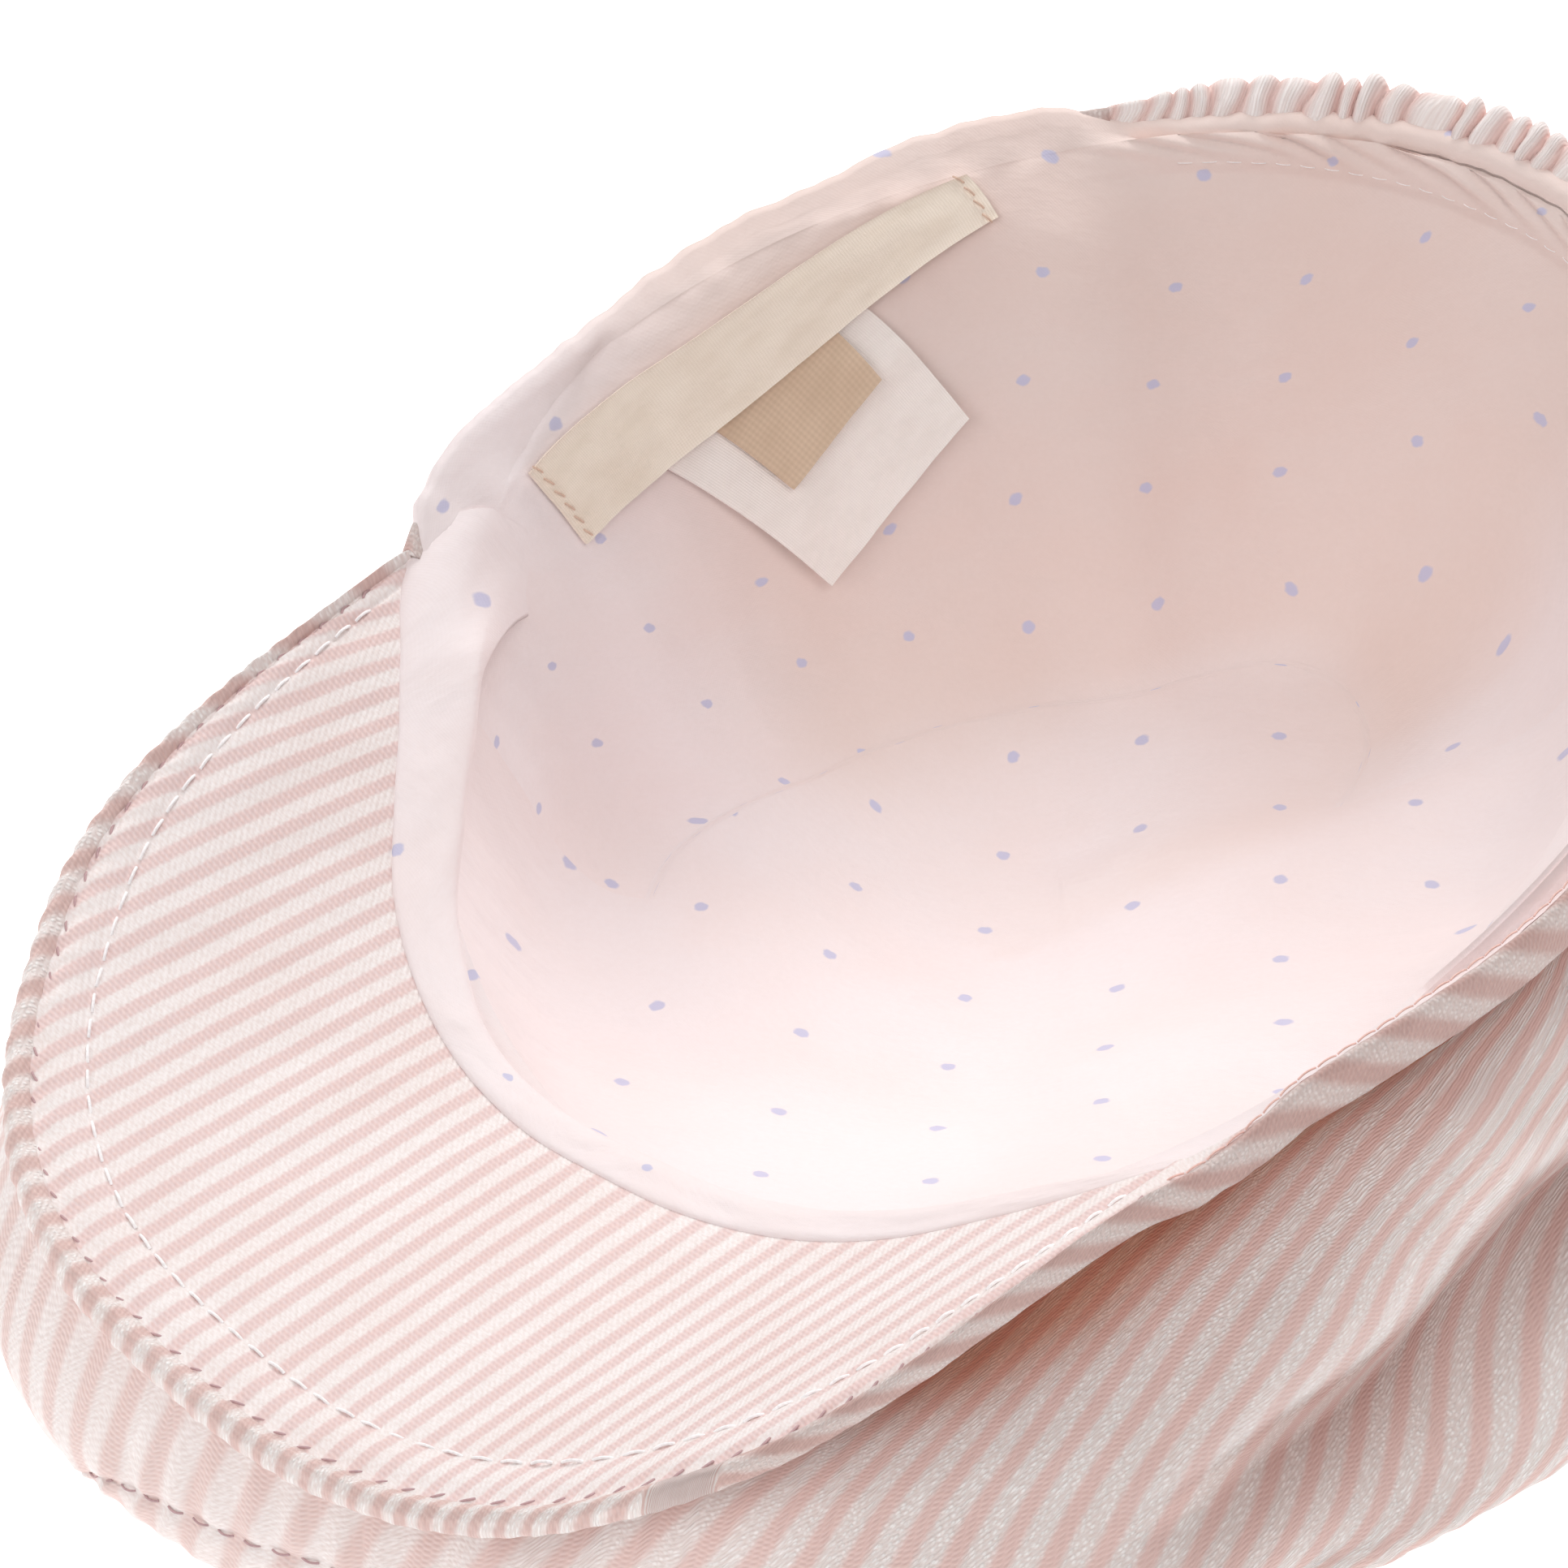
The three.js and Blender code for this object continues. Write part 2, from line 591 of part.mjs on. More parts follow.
const main_label = label("main_label", woven_label, {
  angles: [[-75, -121.5], [-76.4, -123.2]],
  reaches: [[0.07, 0.01], [0.335, 0.185]],
  bow: 2.4,
  sag: 0.045,
  flare: 0,
  clear: 0.4,
  columns: 18,
  rows: 3,
});
const size_label = label("size_label", tan_label, {
  angles: [[-93.4, -104.8], [-99.1, -109.6]],
  reaches: [[0.292, 0.19], [0.476, 0.381]],
  bow: 0,
  sag: 0,
  flare: 1.2,
  clear: 1.5,
  columns: 6,
  rows: 5,
});
const care_label = label("care_label", white_label, {
  angles: [[-88.6, -109.1], [-100.2, -116.7]],
  reaches: [[0.31, 0.23], [0.649, 0.472]],
  bow: 0,
  sag: 0,
  flare: 1.2,
  clear: 0.4,
  columns: 8,
  rows: 7,
});

// ---- the cap -------------------------------------------------------------------------
const cap = new THREE.Group();
cap.name = "driver_cap";
cap.add(
  crownTop(),
  crownPanel("crown_front", -18, 18),
  crownPanel("crown_side_right", 18, 180),
  crownPanel("crown_side_left", -180, -18),
  rolledEdge("rolled_edge_right", roll_start, back_start),
  rolledEdge("rolled_edge_left", -roll_start, -back_start),
  gatheredBack(),
  visor(),
  facing(),
  lining(),
  main_label,
  size_label,
  care_label,
);

export default cap;
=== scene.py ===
"""Driver cap of striped cotton with a dotted lining, lying upside down on its crown.

Shapes are worked out in millimetres round the head opening, and turned to metres when a
mesh is made. Angles are degrees round the opening: 0 at the visor (towards -Y), 90 at +X,
180 at the gathered back. "out" is the level distance outward from the opening's edge.
"""
import math
from contextlib import contextmanager

import bmesh
import bpy
import numpy as np
from bpy.props import FloatProperty, FloatVectorProperty, PointerProperty
from bpy.types import Operator, Panel, PropertyGroup
from mathutils import Matrix, Vector


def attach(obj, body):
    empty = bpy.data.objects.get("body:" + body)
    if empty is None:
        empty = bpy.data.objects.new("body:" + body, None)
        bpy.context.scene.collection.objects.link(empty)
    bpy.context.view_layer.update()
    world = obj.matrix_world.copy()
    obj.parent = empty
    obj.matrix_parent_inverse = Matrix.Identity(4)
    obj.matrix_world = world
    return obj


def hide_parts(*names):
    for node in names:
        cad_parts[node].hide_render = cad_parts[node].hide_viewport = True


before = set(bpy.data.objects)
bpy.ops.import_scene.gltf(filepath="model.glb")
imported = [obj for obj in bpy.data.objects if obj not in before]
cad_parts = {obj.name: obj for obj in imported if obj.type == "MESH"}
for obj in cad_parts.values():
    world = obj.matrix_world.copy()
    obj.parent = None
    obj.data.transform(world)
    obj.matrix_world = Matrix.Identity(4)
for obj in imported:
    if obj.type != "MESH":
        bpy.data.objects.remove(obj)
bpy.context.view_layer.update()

bl_info = {
    "name": "Driver cap",
    "version": (1, 0, 0),
    "blender": (4, 5, 0),
    "location": "View3D > Sidebar > Cap",
    "description": "Builds a striped cotton driver cap, its lining, labels and stitching",
    "category": "Object",
}

# ---- the head opening, in millimetres -------------------------------------------------
# Its lengths from the middle to each side, and its height above the floor there.
OPENING_HALF_WIDTH = 71.6
OPENING_FRONT = 70.2
OPENING_BACK = 96.1
HEIGHT_FRONT = 35.3
HEIGHT_SIDE = 61.7
HEIGHT_BACK = 71.7
# Where the opening's middle lies off the middle of the cap's footprint.
FOOTPRINT_SHIFT = np.array([-3.22, 6.5, 0.0])
# Length down the crown wall's cloth, where the reach goes from 0 to 1.
WALL_LENGTH = 78.0
# Angles from which the edge rises to its full roll, and from which the back is elastic.
ROLL_START = 62.0
BACK_START = 134.0
# How far the rolled edge stands above the opening's line.
ROLL_ABOVE = 3.8

# ---- light and camera, in metres ------------------------------------------------------
WORLD_LIGHT = 0.3
FLOOR_GLOW = 0.6
FLOOR_HALF_WIDTH = 3.0
# Name, place, size and power of each lamp.
SOFTBOXES = (
    ("back_softbox", (-0.6, 1.2, 1.2), 1.0, 20.0),
    ("left_softbox", (-1.2, -0.5, 1.1), 1.0, 5.0),
    ("right_softbox", (0.95, -0.05, 1.5), 1.0, 7.2),
    ("front_softbox", (0.1, -1.3, 1.2), 1.2, 7.5),
)
LAMPS_AIM = (0.0, 0.0, 0.04)
# Focal length in millimetres, then the camera's place, the way it looks, and its level way across.
CAMERA_LENS = 201.4
CAMERA_PLACE = (0.48212, -0.46936, 0.77988)
CAMERA_LOOK = (-0.50112, 0.45611, -0.73542)
CAMERA_ACROSS = (0.6925, 0.7214, 0.0)

# ---- directions and edges -------------------------------------------------------------
UPWARD = np.array([0.0, 0.0, 1.0])
# Point inside the cap, in millimetres, that its inner faces turn towards.
CAP_MIDDLE = np.array([0.0, 0.0, 30.0])
# Faces that meet at more than this angle, in radians, show a crisp edge.
SHARP_EDGE = 1.3

# ---- cloth thicknesses, in millimetres ------------------------------------------------
SHELL_CLOTH = 1.3
LINING_CLOTH = 0.7
LABEL_CLOTH = 0.45

# Crown wall at some angles: how far its top edge lies below the opening, then the out and
# height of the hollow under the edge, of the slope below it, and of the widest place.
CROWN = {
    "angle": (-160, -130, -90, -70, -50, -30, -14, 6, 30, 60, 90, 130, 160),
    "low": (7.4, 5.6, 4.1, 4.1, 3.8, 3.2, 3.0, 3.0, 3.2, 3.6, 4.1, 5.6, 7.4),
    "start_out": (-0.6, -0.6, -0.6, -0.6, -0.6, 0.5, 0.5, 0.5, 0.5, -0.6, -0.6, -0.6, -0.6),
    "tuck_out": (-3.5, -3.0, -3.0, -3.0, 4, 12, 15, 15, 10, -4.5, -5.5, -4.0, -3.0),
    "tuck_height": (56, 54, 50, 49, 42, 36, 33, 32, 34.5, 44, 50, 55, 56),
    "drape_out": (6, 8, 6.5, 6, 14, 33, 42, 45, 33, 15, 10, 9, 6),
    "drape_height": (42, 41, 37, 36.5, 35, 38, 37, 36.5, 36, 33, 39, 42, 42),
    "belly_out": (19, 21, 17.5, 17, 25, 47, 58, 56, 45, 31, 25.5, 24, 20),
    "belly_height": (20, 19, 17, 17, 18, 20, 18, 18, 19, 18, 17, 18, 20),
    "under": (2.4, 2.4, 2.4, 2.4, 2.4, 2.4, 2.8, 7.0, 6.0, 4.4, 4.0, 3.0, 2.4),
}

# Foot of the crown wall below its seam: out from the seam, and height.
CROWN_FOOT = ((0, 8.5), (-5.1, 2.3), (-13.6, 0))
# Where the crown's cloth meets in the middle, in plan.
CROWN_MIDDLE = (0.0, -6.0)
# Millimetres round the crown to a degree, as its folds are counted.
FOLD_SCALE = 1.5

# Folds of the crown wall: from and to an angle and a reach (0 at the top edge, 1 at the
# low seam), with the width and height of the ridge.
CROWN_FOLDS = (
    (112, 0.30, 84, 0.42, 7, 1.6),
    (84, 0.42, 56, 0.68, 7, 1.6),
    (96, 0.52, 60, 0.80, 6, -3.0),
    (20, 0.62, 15, 1.00, 4, 2.6),
    (150, 0.25, 122, 0.85, 8, 3.0),
    (-172, 0.30, -158, 0.90, 8, 3.0),
    (-138, 0.25, -116, 0.80, 8, 3.4),
    (-112, 0.30, -94, 0.70, 9, 2.0),
    (-84, 0.62, -62, 0.95, 7, -2.4),
)

# Long sagging fold of the crown's right side: where its lip lies, and how far it stands out.
CROWN_SAG = {
    "angle": (50, 57, 60, 64, 70, 74, 80, 87, 96, 106, 116),
    "reach": (0.60, 0.58, 0.565, 0.545, 0.53, 0.515, 0.485, 0.47, 0.49, 0.50, 0.50),
    "out": (0.0, 2.4, 4.6, 7.0, 8.6, 9.0, 9.0, 8.6, 7.4, 4.0, 0.0),
}

# How far down the crown wall its low seam shows.
CROWN_SEAM = {
    "angle": (-180, -20, -10, -7, -4.2, -1.2, 4, 9.2, 16, 28, 40, 180),
    "reach": (1.0, 1.0, 0.95, 0.86, 0.75, 0.72, 0.692, 0.668, 0.70, 0.85, 1.0, 1.0),
}

# Lower edge of the painted shade in the crown's sunken hollow under the rolled edge.
CROWN_HOLLOW_SHADE = {
    "angle": (-180, -60, -20, 20, 43, 53, 65, 79, 92, 102, 140, 180),
    "reach": (0.14, 0.16, 0.3, 0.42, 0.45, 0.43, 0.38, 0.32, 0.28, 0.26, 0.18, 0.14),
}

# How far the crown's stripes lean round the cap, in millimetres, at six reaches. The lean
# is mirrored on the other side of the cap.
STRIPE_LEAN = {
    "angle": (0, 15, 30, 40, 50, 60, 70, 80, 90, 100, 130, 180),
    "at_0.30": (0, -17, -35, -39, -47, -56, -64, -72, -83, -98, -110, -110),
    "at_0.40": (0, -14, -28, -30, -36, -44, -53, -63, -74, -85, -96, -96),
    "at_0.50": (0, -11, -22, -24, -29, -36, -43, -40.5, -49.6, -64, -74, -74),
    "at_0.55": (0, -10, -20.4, -21.8, -26, -31.6, -32, -34.5, -42.6, -54, -63, -63),
    "at_0.70": (0, -6, -13, -15.7, -19, -21.2, -25.5, -29.4, -31.6, -36.3, -44, -44),
    "at_1.00": (0, 4, 6.8, 3, -0.5, -3.6, -6, -7.6, -9.5, -13.2, -15, -15),
}
LEAN_REACHES = (0.30, 0.40, 0.50, 0.55, 0.70, 1.00)

# Lining's inside face at some angles: its edge, the ledge below it, the wall, the heel at
# the wall's foot, and where the floor begins.
LINING = {
    "angle": (-160, -130, -90, -60, -30, 0, 30, 60, 90, 130, 160),
    "edge_out": (-5.3, -4.6, -4.4, -6.4, -6.0, -5.5, -4.5, -5.2, -4.5, -4.6, -5.3),
    "edge_height": (71.2, 68.0, 64.2, 53.2, 39.6, 33.0, 39.6, 52.4, 64.0, 68.0, 71.2),
    "ledge_out": (-10, -11, -11, -10, -9, -8, -8, -9.5, -11, -10.5, -10),
    "ledge_height": (60, 61, 57, 46, 33, 28.5, 34, 45, 50, 57, 60),
    "wall_out": (-19, -23, -20, -15, -12, -12, -12, -15, -16, -16, -18),
    "wall_height": (40, 43, 42, 35, 27, 24, 28, 34, 37, 41, 40),
    "heel_out": (-27, -33, -27, -20, -17, -21, -23, -26, -28, -26, -26),
    "heel_height": (24, 25, 25, 22, 20, 19, 22, 25, 26, 26, 24),
    "foot": (-35, -42, -35, -27, -27, -38, -46, -54, -57, -48, -38),
}
LINING_FLOOR = 9.0
LINING_CUT = 140.0
PRINT_TURN = -52.0
CASING_REACH = 0.13

# Upper edge of the lining, row by row from its free edge: out and height from the rolled
# edge's top where it laps over at the far side, and how far in it lies elsewhere.
LINING_LAP = {
    "far_out": (0.3, 0.3, -0.3, -1.6, -2.7),
    "far_up": (-2.0, -0.5, 0.65, 0.8, -0.5),
    "inward": (0.0, 0.2, 0.45, 0.8, 1.2),
    "back_out": (-3.0, -4.2, -5.2, -5.6, -5.6),
    "back_up": (2.4, 2.6, 1.9, 1.0, 0.1),
}
LINING_MIDDLE = (-8.0, 17.0)

# Folds of the lining along lines in plan: from x, y, to x, y, width, height.
LINING_FOLDS = (
    (-44, -11, -24, 27, 6, 2.2),
    (-6, 13, 16, 39, 10, 2.6),
    (30, -11, 44, 23, 9, 2.4),
    (-22, -21, 4, -5, 9, 1.6),
    (4, 63, 26, 53, 8, 2.4),
    (-46, 53, -28, 45, 8, 2.0),
    (18, -37, 34, -25, 9, 1.6),
)

# Printed dots on the lining's wall and floor: where each lies, and its column and row in the
# print.
WALL_DOTS = {
    "angle": (-122.3, -135.7, -150.7, -165.0, -177.3, -120.6, -134.9, -151.3, -169.5, -188.6, -119.0, -134.8,
              -156.0, -180.1, -106.3, -114.9, -125.9, -139.0, -154.5, -164.9, -84.1, -77.4, -65.9, -66.1),
    "reach": (0.439, 0.459, 0.465, 0.394, 0.268, 0.615, 0.632, 0.611, 0.52, 0.372, 0.835, 0.802,
              0.849, 0.708, 0.779, 0.25, 0.31, 0.354, 0.347, 0.215, 0.751, 0.572, 0.451, 0.643),
    "column": (0, 1, 2, 3, 4, 0, 1, 2, 3, 4, 0, 1, 2, 3, -1, -1, 0, 1, 2, 3, -3, -3, -4, -4),
    "row": (0, 0, 0, 0, 0, 1, 1, 1, 1, 1, 2, 2, 2, 2, 2, -1, -1, -1, -1, -1, 2, 1, 1, 2),
}
FLOOR_DOTS = {
    "x": (-19.3, -11.5, -5.0, 1.5, 8.1, 25.3, -14.7, -6.9, 4.3, 13.3, 20.3, 37.2, -1.4, 6.9, 16.8,
          25.3, 38.1, 11.5, 21.9, 33.2, 48.1, -22.7, -14.4, -7.9, 0.8, 9.6, -29.6, -21.8, -12.4, -40.8),
    "y": (21.0, 11.3, 1.6, -8.2, -17.9, -35.9, 36.8, 28.2, 16.2, 6.4, -3.1, -20.3, 47.8, 39.8, 29.7,
          20.2, 6.7, 55.5, 46.3, 35.3, 27.8, -1.7, -13.6, -23.8, -35.8, -48.0, -22.8, -35.7, -49.0, -29.5),
    "column": (0, 0, 0, 0, 0, 0, 1, 1, 1, 1, 1, 1, 2, 2, 2,
               2, 2, 3, 3, 3, 3, -1, -1, -1, -1, -1, -2, -2, -2, -3),
    "row": (4, 5, 6, 7, 8, 10, 4, 5, 6, 7, 8, 10, 4, 5, 6, 7, 8, 4, 5, 6, 7, 6, 7, 8, 9, 10, 7, 8, 9, 7),
}

# ---- rolled edge ----------------------------------------------------------------------
RIM_THICKNESS = 3.0
# How much painted shade darkens the rim's roll beyond the visor's roll of the same cloth.
RIM_SHADE = 0.5

# Outline of the rolled edge: share of its thickness inward, share of its height upward.
ROLL_OUTLINE = (
    (0.84, 0.76), (0.7, 0.86), (0.56, 0.93), (0.42, 0.985), (0.27, 0.965), (0.14, 0.89), (0.04, 0.78),
    (-0.03, 0.64), (-0.06, 0.48), (-0.06, 0.32), (-0.02, 0.16), (0.06, 0.05), (0.22, 0.0), (0.44, -0.01),
    (0.66, 0.0), (0.86, 0.03), (0.97, 0.14), (1.0, 0.3), (1.0, 0.46), (0.95, 0.62),
)
# Share of the way round for each point of the rolls' finer outline.
RING = np.linspace(0, 1, len(ROLL_OUTLINE) * 2 + 1)[None, :-1]

# How far the rolled rim stands out from the opening's line.
RIM_DRIFT = {
    "angle": (-150, -133, -124, -117, -111, -104, -97, -92, -88, -82, -77, -72,
              -66, -61.5, -50, 50, 61.5, 64, 67, 73, 87, 100, 120, 140),
    "out": (0.2, 0.7, 2.0, 2.2, 1.0, 1.2, 0.2, -1.0, -1.6, -1.4, -0.4, 1.0,
            1.8, 1.8, 1.8, 4.4, 3.7, 2.9, 2.0, 0.2, -0.2, 0.7, 0.5, 0.0),
}

# ---- visor ----------------------------------------------------------------------------
VISOR_CORNER = 61.5
VISOR_DEPTH = 56.0
VISOR_HALF_WIDTH = 66.6
VISOR_ROUNDNESS = 2.53
VISOR_TIP_HEIGHT = 42.2
VISOR_CLOTH = 2.2
VISOR_ROLL = 3.4
# How far in from its edge the visor's row of stitches lies, and the length of one repeat.
STITCH_INSET = 10.0
VISOR_PITCH = 3.3
# Angle at which the near corner's last wedge of the visor ends.
WEDGE_END = 69.0

# Stripes of the visor: where each lies 10 mm in front of the opening, how it leans towards
# the back, and its number counted from the left.
VISOR_STRIPES = {
    "x": (-80, -70.5, -59.9, -49.8, -39.8, -30.1, -20.5, -11, -1.5, 8.1, 18.4, 28.4, 37.3, 45, 52, 62),
    "lean": (0.28, 0.25, 0.2, 0.152, 0.104, 0.066, 0.018, -0.022,
             -0.05, -0.07, -0.05, -0.02, 0.02, 0.06, 0.12, 0.2),
    "number": (-2.7, 0, 3, 6, 9, 12, 15, 18, 21, 24, 27, 30, 33, 36, 39, 43),
}

# Seam between the visor and the lining, out from the opening's line.
FRONT_SEAM = {
    "angle": (-75, -63, -57, -53, -45, -37, -30, -22, -13, -3, 6, 16, 28, 36, 43, 52, 57, 63, 75),
    "out": (1.0, 1.0, 0.0, -1.2, -2.0, -1.1, 0.4, 1.2, 1.4, 0.6,
            -0.8, -0.7, -0.3, -0.6, -1.4, -1.6, -1.4, -0.8, -0.8),
}

# Extra width of the visor from its far corner, -1, to its near one.
VISOR_FULLNESS = {
    "side": (-1.0, -0.97, -0.92, -0.8, -0.67, -0.55, 0.4, 0.5, 0.63, 0.75, 0.83, 0.92, 0.97, 1.0),
    "out": (2.2, 3.0, 3.6, 2.4, 1.2, 0.0, -0.5, -1.5, -1.8, -1.5, -0.4, 1.8, 3.0, 4.1),
}

# Width of the facing band at some angles.
FACING = {
    "angle": (-64.0, -58, -45, -33, -20, -12, -3, 8, 20, 35, 50, 60, 66),
    "width": (10.6, 10.0, 8.6, 7.8, 6.2, 5.2, 5.4, 5.8, 5.6, 4.6, 2.8, 1.0, 0.4),
}
FACING_PEAK = 7.8
FACING_DOTS = {"angle": (-56.8, -33.6, -8.3, 8.9), "girth": (7.8, 1.4, 6.2, 5.5)}

# Section of the facing band: share of its width inward, and height in millimetres.
FACING_OUTLINE = (
    (0.0, -0.75), (0.005, -0.1), (0.08, 0.28), (0.3, 0.42), (0.5, 0.45), (0.68, 0.4),
    (0.82, 0.22), (0.92, -0.1), (0.98, -0.55), (1.0, -1.1), (1.01, -1.8), (1.0, -2.4),
    (0.94, -2.5), (0.93, -1.6), (0.84, -1.1), (0.6, -0.9), (0.3, -1.0), (0.05, -1.2),
)

# ---- labels ---------------------------------------------------------------------------
# Where each label lies on the lining: its corners' angles and reaches, the top two first;
# then how its middle bows off the lining and sags, how its free end flares, how clear of the
# lining it lies, and its size.
LABELS = {
    "main_label_tape": dict(
        angles=((-75.0, -121.5), (-76.4, -123.2)), reaches=((0.07, 0.01), (0.335, 0.185)),
        bow=1.6, sag=(0.11, 0.06), flare=0.0, clear=0.5, size=(66.0, 12.0), material="cream_woven_tape",
        slot="woven_label", node="main_label",
    ),
    "size_label_tape": dict(
        angles=((-93.4, -104.8), (-99.1, -109.6)), reaches=((0.292, 0.19), (0.476, 0.381)),
        bow=0.0, sag=(0.0, 0.0), flare=0.9, clear=1.2, size=(17.4, 15.0), material="tan_woven_tape",
        slot="tan_label", node="size_label",
    ),
    "care_label_ribbon": dict(
        angles=((-88.6, -109.1), (-100.2, -116.7)), reaches=((0.31, 0.23), (0.649, 0.472)),
        bow=0.0, sag=(0.0, 0.0), flare=1.0, clear=0.5, size=(28.0, 26.0), material="white_satin_ribbon",
        slot="white_label", node="care_label",
    ),
}

# ---- materials ------------------------------------------------------------------------
# Cotton nubbier than this has its nubs from the point's nub value, which is also lowered on the long fold's lip to
# paint a highlight there.
MOST_EVEN_NUB = 0.75
SOFT_STEP = {"interpolation_type": "SMOOTHSTEP"}
TINT = {"output": 2, "data_type": "RGBA"}


# ---- shape helpers --------------------------------------------------------------------
def blend(a, b, c, d, k):
    """Catmull-Rom value between b and c."""
    square = 2 * a - 5 * b + 4 * c - d
    cube = 3 * b - a - 3 * c + d
    return b + 0.5 * k * (c - a + k * (square + k * cube))


def mix(a, b, k):
    return a + (b - a) * k


def smooth(k):
    k = np.clip(k, 0.0, 1.0)
    return k * k * (3 - 2 * k)


def signed(angle):
    """Angle from -180 to 180."""
    return (np.asarray(angle, float) + 180) % 360 - 180


def around(table, column, angle):
    """Column of a table of sections at any angle, eased from row to row all the way round."""
    angles, values = (np.array(table[key], float) for key in ("angle", column))
    count = len(angles)
    row = np.searchsorted(angles, signed(angle), side="right") - 1
    row = np.where(row < 0, count - 1, row)
    span = (angles[(row + 1) % count] - angles[row]) % 360
    k = ((signed(angle) - angles[row]) % 360) / span
    return blend(*(values[(row + step) % count] for step in (-1, 0, 1, 2)), k)


def straight(table, column, at, key="angle"):
    """Column of a table, straight from row to row."""
    return np.interp(at, table[key], table[column])


def opening_height(angle):
    c = np.cos(np.radians(angle))
    return mix(HEIGHT_SIDE, np.where(c > 0, HEIGHT_FRONT, HEIGHT_BACK), c * c)


def place(angle, out, height):
    """Point at a distance outward from the opening's edge, and at a height."""
    s, c = np.sin(np.radians(angle)), np.cos(np.radians(angle))
    length = np.where(c > 0, OPENING_FRONT, OPENING_BACK)
    nx, ny = s / OPENING_HALF_WIDTH, -c / length
    size = np.hypot(nx, ny)
    x = OPENING_HALF_WIDTH * s + nx / size * out
    y = -length * c + ny / size * out
    return np.stack(np.broadcast_arrays(x, y, height), -1)


def by_rim(angle, out, up=0.0):
    """Point at a distance outward from the opening's edge, and at a height above it."""
    return place(angle, out, opening_height(angle) + up)


def along_curve(points, k):
    """Out and height on an open curve through a list of (out, height), k from 0 to 1."""
    last = len(points) - 1
    at = np.clip(np.asarray(k, float) * last, 0, last - 1e-9)
    i = np.floor(at).astype(int)
    found = []
    for part in zip(*points):
        stack = np.stack([np.broadcast_to(value, at.shape) for value in part])
        near = (np.take_along_axis(stack, np.clip(i + step, 0, last)[None], 0)[0] for step in (-1, 0, 1, 2))
        found.append(blend(*near, at - i))
    return found


def off_curve(points, k):
    """Out and height on such a curve, and the way square to it, outward."""
    out, height = along_curve(points, k)
    (out_a, height_a), (out_b, height_b) = along_curve(points, k - 0.01), along_curve(points, k + 0.01)
    size = np.hypot(out_b - out_a, height_b - height_a)
    return out, height, (height_a - height_b) / size, (out_b - out_a) / size


def ridge(x, y, start, end, width, height):
    """Height of a rounded ridge along a line."""
    lx, ly = end[0] - start[0], end[1] - start[1]
    ax, ay = x - start[0], y - start[1]
    k = np.clip((ax * lx + ay * ly) / (lx * lx + ly * ly), 0, 1)
    away = np.hypot(ax - k * lx, ay - k * ly) / width
    return height * np.exp(-away * away)


def soft_noise(x, y, seed):
    """Smooth noise from -1 to 1 on a unit lattice."""
    x, y = np.broadcast_arrays(x, y)
    xi, yi = np.floor(x).astype(np.int64), np.floor(y).astype(np.int64)
    fx, fy = x - xi, y - yi

    def corner(dx, dy):
        n = (xi + dx) * 374761393 + (yi + dy) * 668265263 + seed * 1442695041
        n = (n ^ (n >> 13)) * 1274126177
        turn = ((n ^ (n >> 16)) & 0xFFFF) / 65536.0 * 2 * math.pi
        return np.cos(turn) * (fx - dx) + np.sin(turn) * (fy - dy)

    kx, ky = (f**3 * (f * (f * 6 - 15) + 10) for f in (fx, fy))
    low, high = (mix(corner(0, side), corner(1, side), kx) for side in (0, 1))
    return mix(low, high, ky) * 1.6


def arc_length(points):
    """Distance along a row of points."""
    steps = np.linalg.norm(np.diff(points, axis=0), axis=-1)
    return np.concatenate([np.zeros((1, *steps.shape[1:])), np.cumsum(steps, 0)])


def closed(rows):
    """Rows with their first column again at the end."""
    return np.concatenate([rows, rows[:, :1]], 1)


def settings():
    return bpy.context.scene.driver_cap


# ---- meshes ---------------------------------------------------------------------------
CORNERS = ((0, 0), (0, 1), (1, 1), (1, 0))
CORNERS_TURNED = ((0, 1), (0, 0), (1, 0), (1, 1))


def grid(rows, columns):
    """Row and column of each cell of a grid."""
    return (n.ravel() for n in np.meshgrid(np.arange(rows), np.arange(columns), indexing="ij"))


def mesh_object(name, points, faces, faces_uv, cloth, material_name):
    """Object from points in millimetres, its faces, and where they lie on the flat cloth."""
    if signed_volume(points, faces) < 0:
        faces, faces_uv = faces[:, ::-1], faces_uv[:, ::-1]
    mesh = bpy.data.meshes.new(name)
    mesh.from_pydata(to_metres(points).tolist(), [], faces.tolist())
    mesh.polygons.foreach_set("use_smooth", [True] * len(mesh.polygons))
    layer = mesh.uv_layers.new(name="cloth_mm")
    layer.data.foreach_set("uv", cloth[faces_uv].astype(np.float32).ravel())
    mesh.materials.append(material(material_name))
    mesh.validate()
    mesh.update()
    return linked(name, mesh)


def to_metres(points):
    return (np.asarray(points, float) + FOOTPRINT_SHIFT) * 0.001


def linked(name, data):
    made = bpy.data.objects.new(name, data)
    bpy.context.scene.collection.objects.link(made)
    return made


def signed_volume(points, faces):
    a, b, c, d = (points[faces[:, k]] for k in range(4))
    return np.sum(a * np.cross(b, c) + a * np.cross(c, d)) / 6


@contextmanager
def edited(made):
    """Mesh of an object, opened for editing."""
    work = bmesh.new()
    work.from_mesh(made.data)
    yield work
    work.to_mesh(made.data)
    work.free()


